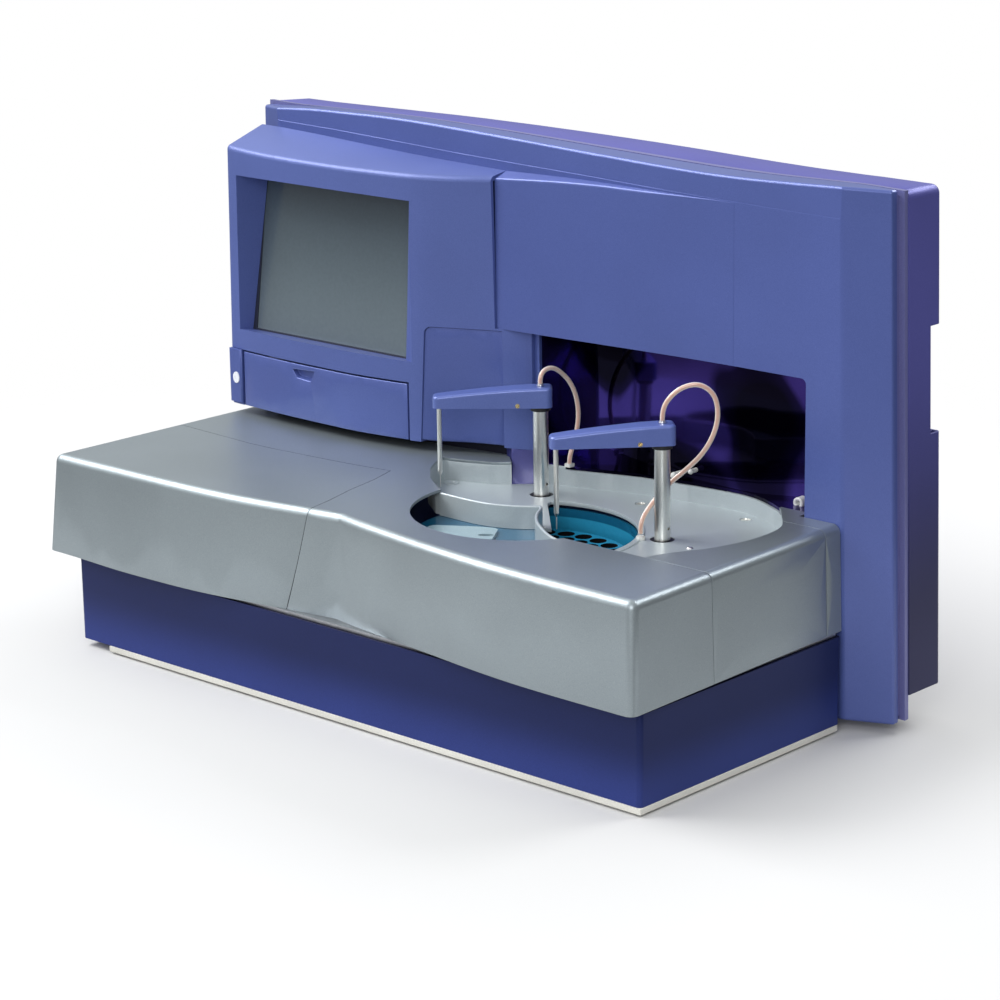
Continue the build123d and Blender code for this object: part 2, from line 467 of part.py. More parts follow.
def build_drive(side, col, sx):
    """Lift carriage round the column, guide rods, top and bottom plates, motors."""
    cx, cy = col
    x_rod = cx + sx * 24
    blk_x0, blk_x1 = sorted((cx - sx * 13, cx + sx * 34))
    carriage = box(blk_x0, blk_x1, cy - 13, cy + 13, 102, 115.95) - zcyl(cx, cy, COL_R + RUN, 90, 130)
    carriage = carriage - zcyl(x_rod, cy - 7, 3 + RUN, 90, 130) - zcyl(x_rod, cy + 7, 3 + RUN, 90, 130)
    add(side + "_lift_carriage", carriage)
    low = box(blk_x0, blk_x1, cy - 14, cy + 14, 94.4, 97.9)
    rods = zcyl(x_rod, cy - 7, 3, 97.9, 170.5) + zcyl(x_rod, cy + 7, 3, 97.9, 170.5)
    p0, p1 = sorted((cx + sx * 12.6, cx + sx * 34))
    high = box(p0, p1, cy - 14, cy + 14, 170.5, 174.9)
    m0, m1 = sorted((cx + sx * 36, cx + sx * 66))
    drive_motor = box(m0, m1, cy - 14, cy + 14, 94.4, 140)
    tie0, tie1 = sorted((cx + sx * 33, cx + sx * 36.5))
    tie = box(tie0, tie1, cy - 14, cy + 14, 140, 174.9)
    side_post0, side_post1 = sorted((cx + sx * 34.3, cx + sx * 36))
    post_ = box(side_post0, side_post1, cy - 14, cy + 14, 94.4, 174.9)
    unit_ = low + rods + high + post_ + drive_motor
    unit_ = unit_ + box(min(blk_x1, side_post0) if sx > 0 else side_post1, side_post0 if sx > 0 else max(blk_x0, side_post1),
                        cy - 14, cy + 14, 94.4, 97.9) + \
        box(min(p1, side_post0) if sx > 0 else side_post1, side_post0 if sx > 0 else max(p0, side_post1),
            cy - 14, cy + 14, 170.5, 174.9)
    add(side + "_arm_drive", unit_)


build_drive("left", L_COL, -1)
build_drive("right", R_COL, 1)

# small things standing in the bay
screws = []
for x, y in ((-260.6, 311.1), (-140.7, 332.8)):
    # countersunk screw, a little below the floor
    head = Pos(x, y, BAY_Z - 0.7) * Cone(3.2, 6.2, 2.2) + zcyl(x, y, 1.5, BAY_Z - 6, BAY_Z - 1.7)
    head = (head & zcyl(x, y, 6.25, BAY_Z - 8, BAY_Z - 0.2)) - zcyl(x, y, 4.6, BAY_Z - 0.7, BAY_Z + 1) - (Pos(x, y, BAY_Z - 1.0) * Box(6.4, 1.2, 1.4))
    screws.append((head - (zcyl(x, y, 9, BAY_Z - 1.8, BAY_Z + 2) - zcyl(x, y, 6.2, BAY_Z - 2, BAY_Z + 2))) & zcyl(x, y, 6.2, BAY_Z - 8, BAY_Z))
cap = (Pos(-118.8, 217.1, BAY_Z + 0.55) * Cone(3.4, 2.2, 1.1)) + zcyl(-118.8, 217.1, 1.1, BAY_Z - 5, BAY_Z + 0.2)
screws.append(cap)
add("floor_screws", *screws)
cup = zcyl(-467.4, 245, 8.2, BAY_Z, BAY_Z + 0.8) + zcyl(-467.4, 245, 4.9, BAY_Z - 22, BAY_Z)
cup = cup - zcyl(-467.4, 245, 3.6, BAY_Z - 19, BAY_Z + 10) - Pos(-467.4, 245, BAY_Z + 0.3) * Cone(3.6, 6.6, 1.6)
add("wash_cup", cup)
fit_r = zcyl(-176, 210, 3.0, BAY_Z - 6, BAY_Z) + zcyl(-176, 210, 4.4, BAY_Z, BAY_Z + 3.2)
fit_w = ycyl(-86.2, 201.6, 6.0, 346.5, RECESS_BACK_Y) - ycyl(-86.2, 201.6, 2.7, 340, 352)
fit_w = round_edges(fit_w.solid(), fit_w.edges().filter_by(GeomType.CIRCLE).group_by(Axis.Y)[0], 1.4)
fit_w = fit_w - box(-100, -70, 340, 360, 190, 199.1)
fit_t1 = ycyl(-243, 204.5, 3.2, 343, RECESS_BACK_Y) + Pos(-243, 343, 204.5) * Sphere(3.6)
fit_t2 = ycyl(-224, 211, 2.4, 347, RECESS_BACK_Y) + Pos(-224, 347, 211) * Sphere(2.9)
clip = box(-366.6, -359.4, 312.6, 320.4, DECK_Z - SHEET, DECK_Z + 0.5)
add("tube_fittings", fit_r, fit_w, fit_t1, fit_t2, clip)

# tubes to the arms: straight runs joined by arcs as large as the runs allow
L_TUBE = [(-364.0, 273.0, 296.4), (-364.0, 273.0, 304.0), (-363.8, 279.5, 310.0), (-363.4, 291.5, 310.5),
          (-363.0, 304.5, 303.0), (-363.0, 318.0, 291.0), (-363.0, 328.0, 274.0), (-363.0, 332.0, 254.0),
          (-363.0, 328.5, 234.0), (-363.0, 320.5, 217.5), (-363.0, 316.5, 208.0), (-363.0, 316.5, 202.5)]
R_TUBE = [(-160.0, 224.5, 298.9), (-160.0, 224.5, 308.5), (-156.0, 228.3, 320.5), (-146.5, 237.2, 332.0),
          (-133.5, 249.4, 335.6), (-122.8, 259.4, 325.0), (-119.8, 262.2, 306.0), (-123.0, 260.6, 285.5),
          (-132.8, 255.4, 264.5), (-148.4, 249.2, 247.0), (-164.5, 241.0, 231.5), (-174.5, 228.0, 213.5),
          (-176.0, 214.5, 201.0), (-176.0, 210.0, 192.0), (-176.0, 210.0, 184.0)]


def tube_along(route, d, label):
    pts = [Vector(*p) for p in route]
    radii = []
    for a, b, c in zip(pts, pts[1:], pts[2:]):
        turn = math.radians((b - a).get_angle(c - b))
        short = min((b - a).length, (c - b).length)
        radii.append(0.45 * short / math.tan(turn / 2))
    line = FilletPolyline(*pts, radius=radii)
    w = line.wire()
    start = Plane(origin=pts[0], z_dir=(pts[1] - pts[0]))
    t = sweep(start * Circle(d / 2), path=w)
    length = w.length
    print(label, "length", round(length, 1), "radii", [round(r, 1) for r in radii],
          "volume ratio", round(t.volume / (math.pi * d * d / 4 * length), 4))
    return t


add("left_arm_tube", tube_along(L_TUBE, TUBE_D, "left tube"))
add("right_arm_tube", tube_along(R_TUBE, TUBE_D, "right tube"))

# ------------------------------------------------------------ rear panel
TOP_FRONT = [(-842, 537.5), (-830, 538.5), (-800, 540.5), (-779, 542), (-740, 545), (-687, 546.2), (-640, 547.0),
             (-596, 546.8), (-515, 543.9), (-436, 540.2), (-367, 536.6), (-313, 534.2), (-247, 531.4), (-182, 529.6),
             (-130, 529.8), (-83, 531.3), (-45, 532.8), (-12, 534), (34, 532.0), (52, 531)]
TOP_REAR = [(-842, 537.8), (-700, 538.5), (-560, 540), (-395, 539.8), (-250, 537.2), (-100, 532.2), (0, 530.6), (52, 530.2)]


# the bead and the casing stand higher at their left end: (x, height above the panel's line)
LEFT_RAISE = [(-842, 8.0), (-830, 8.0), (-800, 4.5), (-779, 2.5), (-740, 0.5)]


def roof_tool(drop, lift=False):
    """Everything below the sloping top surface, lowered by drop."""
    def wire_at(y, table):
        p = [Vector(x, y, z - drop) for x, z in table]
        lo_r, lo_l = Vector(60, y, -20), Vector(-860, y, -20)
        p[0] = Vector(-860, y, p[0].Z)
        p[-1] = Vector(60, y, p[-1].Z)
        return Wire([Edge.make_spline(p), Edge.make_line(p[-1], lo_r), Edge.make_line(lo_r, lo_l),
                     Edge.make_line(lo_l, p[0])])
    front = [(x, z + (dict(LEFT_RAISE).get(x, 0.0) if lift else 0.0)) for x, z in TOP_FRONT]
    return Solid.make_loft([wire_at(295, front), wire_at(415, TOP_REAR)], True)


def at_z(x_hi, z_hi, x_lo, z_lo, z):
    return x_lo + (x_hi - x_lo) * (z - z_lo) / (z_hi - z_lo)


def panel_plan(z, inset=0.0):
    rc = at_z(-11.6, 534, 0.5, 2, z)
    rk = at_z(33.5, 531.5, 47.6, 2, z) - inset
    lc = at_z(-784, 534, -793, 2, z)
    lk = at_z(-827, 531, -837, 2, z) + inset
    return [(lc, PANEL_Y), (rc, PANEL_Y), (rk, 330), (rk, PANEL_BACK_Y), (lk, PANEL_BACK_Y), (lk, 330)]


def panel_inner(z):
    p = panel_plan(z, PANEL_SKIN)
    (lcx, lcy), (rcx, rcy), rk, rkb, lkb, lk = p
    return [(lcx, PANEL_Y + PANEL_SKIN), (rcx, PANEL_Y + PANEL_SKIN), (rk[0], 331.8), (rkb[0], PANEL_BACK_Y + 1),
            (lkb[0], PANEL_BACK_Y + 1), (lk[0], 331.8)]


panel = (ruled((panel_plan(2), 2), (panel_plan(570), 570)) & roof_tool(0)).solid()
panel = round_edges(panel, [e for e in panel.edges() if abs(e.tangent_at(0.5).Z) > 0.95 and edge_mid(e)[1] < 312], 14)
# the band above the soft crease is set back a little and leans back: (x, height, step, lean)
CREASE = [(-850, 529.0, 1.0, 1.6), (-800, 527.3, 1.0, 1.6), (-713, 525.0, 1.0, 1.6), (-611, 521.0, 1.0, 1.6), (-493, 515.9, 1.0, 1.6),
          (-402, 513.1, 0.95, 1.5), (-313, 510.3, 0.85, 1.3), (-240, 507.7, 0.65, 1.0), (-160, 505.5, 0.35, 0.6), (-80, 503.6, 0.22, 0.4),
          (0, 502.4, 0.18, 0.3), (60, 502.0, 0.18, 0.3)]


def crease_wire(x, zc, step, lean):
    pts = [(300, zc), (PANEL_Y, zc), (PANEL_Y + step, zc + 0.5 * step), (PANEL_Y + step + lean, 548), (PANEL_Y + step + lean * 1.5, 575), (300, 575)]
    return Wire.make_polygon([Vector(x, a, b) for a, b in pts], close=True)


panel = (panel - Solid.make_loft([crease_wire(*c) for c in CREASE], False)).solid()
panel_edges = [e for e in panel.edges()
               if (edge_mid(e)[2] > lerp_table(TOP_FRONT, edge_mid(e)[0]) - 4 and abs(e.tangent_at(0.5).Z) < 0.5 and edge_mid(e)[1] < 336.5)
               or (edge_mid(e)[2] < 3 and edge_mid(e)[1] < 336.5)
               or (abs(e.tangent_at(0.5).Z) > 0.95 and 328 < edge_mid(e)[1] < 332)]
for rr in (3.0, 2.6, 2.2, 1.8, 1.4):
    try:
        panel = round_edges(panel, panel_edges, rr)
        break
    except Exception:
        print("panel edge radius", rr, "not possible")
panel_hollow = ruled((panel_inner(6), 6), (panel_inner(570), 570)) & roof_tool(4)
panel = panel - panel_hollow
# the face is swollen between the housing and the right end: (x, depth, upper edge, top of its roof)
SWELL = [(-441.5, 18.2, 500.3, 505.6), (-425, 17.5, 501.2, 505.9), (-400, 16.0, 502.6, 506.3), (-375, 14.2, 503.9, 506.8),
         (-350, 12.2, 504.8, 507.0), (-325, 10.2, 505.3, 507.0), (-300, 8.3, 505.5, 506.8), (-275, 6.5, 505.3, 506.4),
         (-250, 4.8, 505.0, 506.0), (-225, 3.3, 504.8, 505.6), (-200, 2.0, 504.7, 505.2), (-175, 1.0, 504.5, 504.8),
         (-150, 0.35, 504.2, 504.4), (-140, 0.15, 504.0, 504.2)]


def swell_wire(x, d, ze, zr, z_lo, inset, back):
    k = min(1.0, d / 5.0)
    y = PANEL_Y - d + inset
    pts = [(back, z_lo), (y, z_lo), (y, ze - inset - 2.6 * k), (y + 0.25 * k, ze - inset - 1.3 * k), (y + 0.9 * k, ze - inset - 0.4 * k),
           (y + 2.2 * k, ze - inset), (back, zr - inset)]
    return Wire.make_polygon([Vector(x, a, b) for a, b in pts], close=True)


swell = Solid.make_loft([swell_wire(x, d, ze, zr, OPEN_Z1, 0, PANEL_Y + 1.5) for x, d, ze, zr in SWELL], False)
panel = panel + swell
swell_in = Solid.make_loft([swell_wire(x if x > -440 else -438.5, d, ze, zr, OPEN_Z1 + 3, 3.0, PANEL_Y + 6) for x, d, ze, zr in SWELL[:8]], False)
panel = panel - (swell_in & box(-438.5, -270, 280, PANEL_Y + 5.5, OPEN_Z1 + 3, 505))
panel = panel - box(OPEN_X0, OPEN_X1, 300, 330, OPEN_Z0, OPEN_Z1)
op_edges = [e for e in panel.edges() if abs(edge_mid(e)[0] - OPEN_X1) < 0.2 and abs(edge_mid(e)[2] - OPEN_Z1) < 0.2]
panel = round_edges(panel.solid(), op_edges, 6)
# way in for the drawer and the display leads behind the housing
panel = panel - box(-776, -526, 300, 330, 214, 280) - box(-720, -600, 300, 330, 320, 440)
add("front_panel", panel)

# dark seal set back between the panel and the bead
def ring_between(z_lo, inset, y0, y1, drop, wall):
    def plan(z, ins):
        rk = at_z(40.2, 523, 52.8, 30, z) - ins
        lk = at_z(-832.4, 523, -843, 30, z) + ins
        return [(lk, y0), (rk, y0), (rk, y1), (lk, y1)]
    def plan_in(z, ins):
        p = plan(z, ins)
        return [(p[0][0], y0 - 1), (p[1][0], y0 - 1), (p[2][0], y1 + 1), (p[3][0], y1 + 1)]
    o = ruled((plan(z_lo, inset), z_lo), (plan(570, inset), 570)) & roof_tool(drop, True)
    i = ruled((plan_in(z_lo + wall, inset + wall), z_lo + wall), (plan_in(570, inset + wall), 570)) & roof_tool(drop + wall, True)
    return o - i


add("rear_rim", ring_between(5, 1.2, RIM_Y0, RIM_Y1, 0.6, 9), ring_between(9, 7.5, PANEL_BACK_Y, RIM_Y0, 5.5, 6))

# rear casing
CAS_Z0 = 30.0


def casing_plan(z, ins, y0, y1):
    rk = at_z(40.2, 523, 52.8, 30, z) - ins
    lk = at_z(-832.4, 523, -843, 30, z) + ins
    return [(lk, y0), (rk, y0), (rk, y1), (lk, y1)]


casing = ruled((casing_plan(CAS_Z0, 0, RIM_Y1, CASING_BACK_Y), CAS_Z0),
               (casing_plan(570, 0, RIM_Y1, CASING_BACK_Y), 570))
casing = casing & roof_tool(1.0, True)
cas_long = [e for e in casing.edges() if abs(edge_mid(e)[1] - CASING_BACK_Y) < 0.2]
cas_corner = [e for e in casing.edges() if edge_mid(e)[2] > 500 and abs(edge_mid(e)[1] - (RIM_Y1 + CASING_BACK_Y) / 2) < 2]
casing = round_edges(casing.solid(), cas_corner, 9)
cas_long = [e for e in casing.edges() if abs(edge_mid(e)[1] - CASING_BACK_Y) < 0.2]
casing = round_edges(casing.solid(), cas_long, 6)
hollow = ruled((casing_plan(CAS_Z0 + 3, 3, RIM_Y1 - 1, CASING_BACK_Y - 3), CAS_Z0 + 3),
               (casing_plan(570, 3, RIM_Y1 - 1, CASING_BACK_Y - 3), 570)) & roof_tool(4.0, True)
casing = casing - hollow
# hand notch in the right rear edge, closed behind by a pocket wall
notch = box(22, 70, 383.5, 420, 287, 394)
casing = casing - notch
pocket = box(18.5, 21.9, 380.5, 398.5, 284, 397) + box(18.5, 39.0, 380.5, 383.4, 284, 397) \
    + box(18.5, 38.0, 383, 398.5, 283.9, 286.9) + box(18.5, 35.0, 383, 398.5, 394.1, 397.1)
casing = casing + pocket
FAN_X, FAN_Z, FAN_R = -650.0, 200.0, 38.0
casing = casing - ycyl(FAN_X, FAN_Z, FAN_R, 395, 405)
grille_bars = ycyl(FAN_X, FAN_Z, 10, 398.7, 401.0)
for r in (18.0, 27.0):
    grille_bars = grille_bars + (ycyl(FAN_X, FAN_Z, r, 399, 400.8) - ycyl(FAN_X, FAN_Z, r - 1.6, 398, 402))
for a in (0, 60, 120):
    grille_bars = grille_bars + (Pos(FAN_X, 399.9, FAN_Z) * Rot(0, a, 0) * Box(2 * FAN_R - 0.4, 1.8, 2.0))
guard = grille_bars & ycyl(FAN_X, FAN_Z, FAN_R - 0.1, 398, 402)
INLET_X, INLET_Z = -760.0, 75.0
casing = casing - box(INLET_X - 14, INLET_X + 14, 395, 405, INLET_Z - 24, INLET_Z + 10)
for i in range(14):
    x = -380 + i * 20
    casing = casing - box(x - 2.5, x + 2.5, 395, 405, 420, 480)
casing = casing - box(-560, -470, 395, 405, 62, 82)
add("rear_casing", casing.solids().sort_by(SortBy.VOLUME)[-1])

# glossy liner of the recess behind the arms
rec = box(OPEN_X0 - 3, OPEN_X1 + 3, PANEL_Y + PANEL_SKIN, RECESS_BACK_Y + 3, 196, OPEN_Z1 + 3)
rec = rec - box(OPEN_X0, OPEN_X1, 300, RECESS_BACK_Y, 199, OPEN_Z1)
rec_top_edge = [e for e in rec.edges() if abs(edge_mid(e)[0] - OPEN_X1) < 0.2 and abs(edge_mid(e)[2] - OPEN_Z1) < 0.2
                and abs(e.tangent_at(0.5).Y) > 0.9]
rec = round_edges(rec.solid(), rec_top_edge, 9)
rec = rec - prism(grow(BAY, 3.4), 150, 320) - box(-92.5, -50, 300, 327.5, 190, 203) - box(-369.3, -356.7, 300, 321.3, 180, 203)
rec = rec + box(OPEN_X0 - 3, OPEN_X1 + 3, RECESS_BACK_Y, RECESS_BACK_Y + 3, 176, 200)
add("recess_liner", rec.solids().sort_by(SortBy.VOLUME)[-1])

# -------------------------------------------------------- monitor housing
H_BOT = [(-815, 256), (-812, 252.5), (-805, 251), (-786, 249.5), (-740, 246), (-684, 244), (-645, 243.5), (-606, 244),
         (-570, 248), (-532, 254), (-520, 257), (-502, 266), (-485, 275.5), (-462, 285.5), (-440, 292.5), (-424, 297.5), (-410, 303.5)]
H_TOP = [(-815.0, 262), (-812, 257.5), (-805, 255), (-788, 252.5), (-749, 249.2), (-700, 247.3), (-660, 246.8), (-620, 247),
         (-580, 248.6), (-545, 251.5), (-530, 253.8), (-507, 259.8), (-484, 267), (-460, 277), (-442, 286.0), (-426, 293), (-411, 301)]
H_Z0, H_Z1 = HOUSING_BOT, 500.0


def housing_front(z):
    k = (z - H_Z0) / (H_Z1 - H_Z0)
    return [(a[0] + (b[0] - a[0]) * k, a[1] + (b[1] - a[1]) * k) for a, b in zip(H_BOT, H_TOP)]


def housing_plan(z):
    f = housing_front(z)
    rb = (-399, HOUSING_BACK_Y)
    return f + [rb, (f[0][0], HOUSING_BACK_Y)]


def housing_inner(z, t):
    p = housing_plan(z)
    q = grow(p, -t)
    q[-1] = (q[-1][0], HOUSING_BACK_Y + 5)
    q[-2] = (q[-2][0], HOUSING_BACK_Y + 5)
    return q


ROOF_BACK = [(-830, 520.5), (-787, 520), (-604, 511), (-530, 508), (-448, 505.5), (-405, 503.5)]
ROOF_FRONT = [(-830, 500.5), (-787, 500.5), (-604, 500), (-530, 499.5), (-448, 496), (-405, 494)]


def housing_roof(drop):
    """Everything below the housing's roof, which rises from its front edge to the panel."""
    def wr(y, k):
        p = [Vector(a[0], y, a[1] + (b[1] - a[1]) * k - drop) for a, b in zip(ROOF_FRONT, ROOF_BACK)]
        lo_r, lo_l = Vector(-405, y, 190), Vector(-830, y, 190)
        return Wire([Edge.make_spline(p), Edge.make_line(p[-1], lo_r), Edge.make_line(lo_r, lo_l),
                     Edge.make_line(lo_l, p[0])])
    return Solid.make_loft([wr(220, -0.5), wr(320, 1 + 1 / 6)], True)


def housing_wire(z):
    f = [Vector(x, y, z) for x, y in housing_front(z)]
    rb, lb = Vector(-399.0, HOUSING_BACK_Y, z), Vector(f[0].X, HOUSING_BACK_Y, z)
    return Wire([Edge.make_spline(f), Edge.make_line(f[-1], rb), Edge.make_line(rb, lb), Edge.make_line(lb, f[0])])


housing = (Solid.make_loft([housing_wire(H_Z0), housing_wire(560)], True) & housing_roof(0)).solid()
housing = round_edges(housing, [e for e in housing.edges() if edge_mid(e)[2] > 480 and edge_mid(e)[1] < 309], 6)
h_in = ruled((housing_inner(H_Z0 + 3, 3.5), H_Z0 + 3), (housing_inner(560, 3.5), 560)) & housing_roof(5.0)
housing_outer = housing
housing = housing - h_in


def set_back(d):
    """The housing's outer form moved back by d: its front face is the surface of set-in pieces."""
    return Pos(0, d, 0) * housing_outer


# funnel of the screen: its right side is a soft roll that widens towards the bottom
def y_wire(y, x0, x1, z0, z1):
    return Wire.make_polygon([Vector(x0, y, z0), Vector(x1, y, z0), Vector(x1, y, z1), Vector(x0, y, z1)], close=True)


GCX, GCZ = -659.0, 384.0


def tilted(w, h, y_off0, y_off1, cx, cz):
    """Plate parallel to the glass; offsets measured behind the glass front face."""
    b = Box(w, y_off1 - y_off0, h)
    return Pos(cx, 279.0, cz) * Rot(-SCREEN_TILT, 0, 0) * Pos(0, (y_off0 + y_off1) / 2, 0) * b


housing = housing - box(-801, -517, 200, 300, 293, 477)
funnel = Solid.make_loft([y_wire(240, SCREEN_X0 - 3.4, SCREEN_X1 + 3.4, SCREEN_Z0 + 1.2, SCREEN_Z1 + 3),
                          y_wire(302, -777.4, -526.0, 292.8, 462)], True)
roll = ruled(([(-527.5, 240), (-527.5, 253.2), (-534, 255.8), (-540.5, 258.4), (-546, 261.2), (-549.8, 264.4), (-551.6, 268.0), (-552.2, 272),
               (-552.2, 305), (-517, 305), (-517, 240)][1:-1] + [(-517, 250)], 285),
             ([(-521.5, 240), (-521.5, 250.2), (-524.5, 251.0), (-526.9, 252.2), (-528.7, 254.0), (-529.8, 256.6), (-530.4, 261), (-530.8, 267),
               (-531.4, 305), (-517, 305), (-517, 240)][1:-1] + [(-517, 247)], 480))
ring = box(-801, -517, 200, 300, 293, 477) - funnel
ring = (ring + (roll & box(-560, -517, 200, 300, 293, 477))) & housing_outer
ring = ring - tilted(420, 420, -1.0, 90, GCX, GCZ)
housing = housing + ring.solids().sort_by(SortBy.VOLUME)[-1]
# opening of the drawer, down through the bottom edge
housing = housing - box(DRAWER_X0 - DRAWER_GAP, DRAWER_X1 + DRAWER_GAP, 200, 290, HOUSING_BOT - 3, DRAWER_Z1 + DRAWER_GAP)
# place of the side panel at the lower right
SIDE = [(-521.2, 214.6), (-435.6, 214.6), (-434.8, 338.0), (-514.6, 338.0)]


def side_zone(d, z_lo, r):
    g = grow(SIDE, d)
    g[0], g[1] = (g[0][0], z_lo), (g[1][0], z_lo)
    z = yprism(g, 200, 312)
    corner = [e for e in z.edges().filter_by(Axis.Y) if edge_mid(e)[0] < -500 and edge_mid(e)[2] > 330]
    return round_edges(z.solid(), corner, r)


housing = housing - (side_zone(0.6, 205, 7.6) - set_back(8.8))
side_panel = (side_zone(0, 214.6, 7) & set_back(1.3)) - set_back(4.3)
# clips that hook behind the housing wall, at the top and at the left
for bx in ((-500, -470, 333.2, 337.6, 341.4), (-517.0, -512.4, 255, 290, 290)):
    x0, x1, z0, z1, z2 = bx
    stem = (box(x0, x1, 200, 300, z0, z1) & set_back(2.6)) - set_back(9.0)
    hook = (box(x0 - (5.4 if z1 == z2 else 0), x1, 200, 300, z0, z2) & set_back(6.7)) - set_back(9.0)
    side_panel = side_panel + stem + hook
side_panel = side_panel.solids().sort_by(SortBy.VOLUME)[-1]
side_panel_group = [side_panel]
# seat for the power button block
housing = housing - box(-835, -790.9, 230, 262, 214.3, 276.0)
# the upper cover beside it starts at the seam
housing = housing - box(-441.9, -380, 200, 330, OPEN_Z1, 560)
housing = housing.solids().sort_by(SortBy.VOLUME)[-1]
add("monitor_housing", housing)
add("housing_side_panel", *side_panel_group)

# neck between deck and housing, and the pillar standing in the bay corner
neck = prism([(-800, 290), (-690, 285), (-600, 285), (-540, 289), (-500, 294), (-470, 299), (-440.3, 303.4), (-440.3, 309.4),
              (-800, 309.4)], DECK_Z, HOUSING_BOT)
pillar = ruled((PILLAR, BAY_Z), (PILLAR_TOP, HOUSING_BOT - 0.1))
add("housing_neck", neck, pillar)

# power button block
pb = box(-812.4, -792.2, 247.7, 261.5, 214.8, 275.5)
pb = round_edges(pb.solid(), pb.edges().filter_by(Axis.Z).group_by(Axis.Y)[0], 3)
button_hole = Pos(-800.6, 240, 243) * Rot(-90, 0, 0) * extrude(Ellipse(5.2, 6.7), amount=40)
pb = pb - (button_hole & box(-830, -780, 240, 258.5, 220, 270))
add("power_button_block", pb)
button = Pos(-800.6, 247.0, 243) * Rot(-90, 0, 0) * extrude(Ellipse(4.9, 6.4), amount=8.5)
add("power_button", button)

# screen: gasket, glass and display module
gasket = tilted(270, 192, -0.95, 0.0, GCX, GCZ) - tilted(250, 172, -3, 3, GCX, GCZ)
add("screen_gasket", gasket)
add("touch_glass", tilted(270, 192, 0.0, 3.0, GCX, GCZ))
add("display_module", tilted(258, 190, 3.0, 14.0, GCX, GCZ))

# drawer
front_zone = box(DRAWER_X0, DRAWER_X1, 200, 300, DRAWER_Z0, DRAWER_Z1)
drawer_front = ((front_zone & housing_outer) - set_back(7.0)).solid()
# finger pull: a scoop, deeper at its top
pull = Solid.make_loft([
    Wire.make_polygon([Vector(-707.4, 236, 267.6), Vector(-669.0, 236, 269.9), Vector(-677.0, 236, 254.0), Vector(-698.2, 236, 255.2)], close=True),
    Wire.make_polygon([Vector(-705.0, 251.0, 266.4), Vector(-671.5, 251.0, 268.5), Vector(-676.4, 251.0, 258.6), Vector(-698.4, 251.0, 259.8)], close=True)], True)
drawer_front = drawer_front - pull
add("drawer_front", drawer_front)
tray_box = box(-768, -556, 240, 345, 220, 268) - box(-765.5, -558.5, 200, 342.5, 222.5, 270)
behind = set_back(7.05) + box(-800, -500, 300, 350, 200, 290)
tray_box = (tray_box & behind) + ((box(-768, -556, 240, 290, 220, 268) & set_back(7.05)) - set_back(9.5))
runner_l = box(-771.5, -768, 263, 345, 240, 246)
runner_r = box(-556, -552.5, 263, 345, 240, 246)
add("drawer_tray", (tray_box + runner_l + runner_r).solids().sort_by(SortBy.VOLUME)[-1])
rail_l = box(-779, -771.8, 262, 309, 233, 239.7) + box(-779, -776, 262, 309, 239.7, 253) + box(-779, -771.8, 262, 309, 246.3, 253)
rail_r = box(-552.2, -545, 266, 309, 233, 239.7) + box(-548, -545, 266, 309, 239.7, 253) + box(-552.2, -545, 266, 309, 246.3, 253)
rail_foot_l = box(-779, -776, 262, 309, 215.5, 233)
rail_foot_r = box(-548, -545, 266, 309, 215.5, 233)
add("drawer_rails", rail_l + rail_foot_l, rail_r + rail_foot_r)

# ----------------------------------------------------------- inside pieces
add("main_board", box(-560, -430, 386, 388, 100, 290), *[ycyl(x, z, 3, 388, 398.5) for x in (-550, -440) for z in (110, 280)])
add("power_supply", box(-770, -690, 355, 394, 100, 260))
fan_frame = ((box(FAN_X - 40, FAN_X + 40, 372, 398.4, FAN_Z - 40, FAN_Z + 40) - ycyl(FAN_X, FAN_Z, 37, 360, 405))
    + box(FAN_X - 39, FAN_X + 39, 372, 374.5, FAN_Z - 3, FAN_Z + 3)
    + ycyl(FAN_X, FAN_Z, 3, 374.5, 392))
add("fan_housing", fan_frame, guard)
hub = ycyl(FAN_X, FAN_Z, 13, 376, 394) - ycyl(FAN_X, FAN_Z, 3 + RUN, 370, 392.2)
blades = hub
for i in range(7):
    blades = blades + (Pos(FAN_X, 385, FAN_Z) * Rot(0, i * 360 / 7, 0) * Pos(23.5, 0, 0) * Rot(35, 0, 0) * Box(23.5, 2.0, 17))
blades = blades & ycyl(FAN_X, FAN_Z, 35.6, 375, 396)
add("fan_rotor", blades)
inlet = box(INLET_X - 17, INLET_X + 17, 380, 398.4, INLET_Z - 27, INLET_Z + 13) \
    + box(INLET_X - 13.9, INLET_X + 13.9, 398.4, 401.3, INLET_Z - 23.9, INLET_Z + 9.9)
inlet = inlet - box(INLET_X - 11.5, INLET_X + 11.5, 386, 405, INLET_Z - 8, INLET_Z + 8)
inlet = inlet + box(INLET_X - 7, INLET_X - 5, 386, 398, INLET_Z - 6, INLET_Z - 2) \
    + box(INLET_X + 5, INLET_X + 7, 386, 398, INLET_Z - 6, INLET_Z - 2) \
    + box(INLET_X - 1, INLET_X + 1, 386, 398, INLET_Z - 6, INLET_Z - 2)
ports = box(-559.6, -470.4, 388, 401.2, 62.4, 81.6)
for x in (-545, -515, -485):
    ports = ports - box(x - 8, x + 8, 392, 405, 67, 77)
add("rear_connectors", inlet, ports)
pump_body = (box(-690, -560, 40, 110, 3, 78) - zcyl(-655, 60, 9.1, 20, 90) - zcyl(-600, 60, 9.1, 20, 90))
barrels = []
for nm, sx in (("left", -655), ("right", -600)):
    barrels.append(zcyl(sx, 60, 9.0, 20, 60) - zcyl(sx, 60, 6.0 + RUN, 24, 90))
    plunger = zcyl(sx, 60, 6.0, 25, 33) + zcyl(sx, 60, 2.5, 33, 64) + zcyl(sx, 60, 7.5, 64, 67)
    add(nm + "_syringe_plunger", plunger)
add("lamp_unit", box(-440, -400, 36, 84, 95, 150) + ycyl(-420, 122, 12, 84, 92))
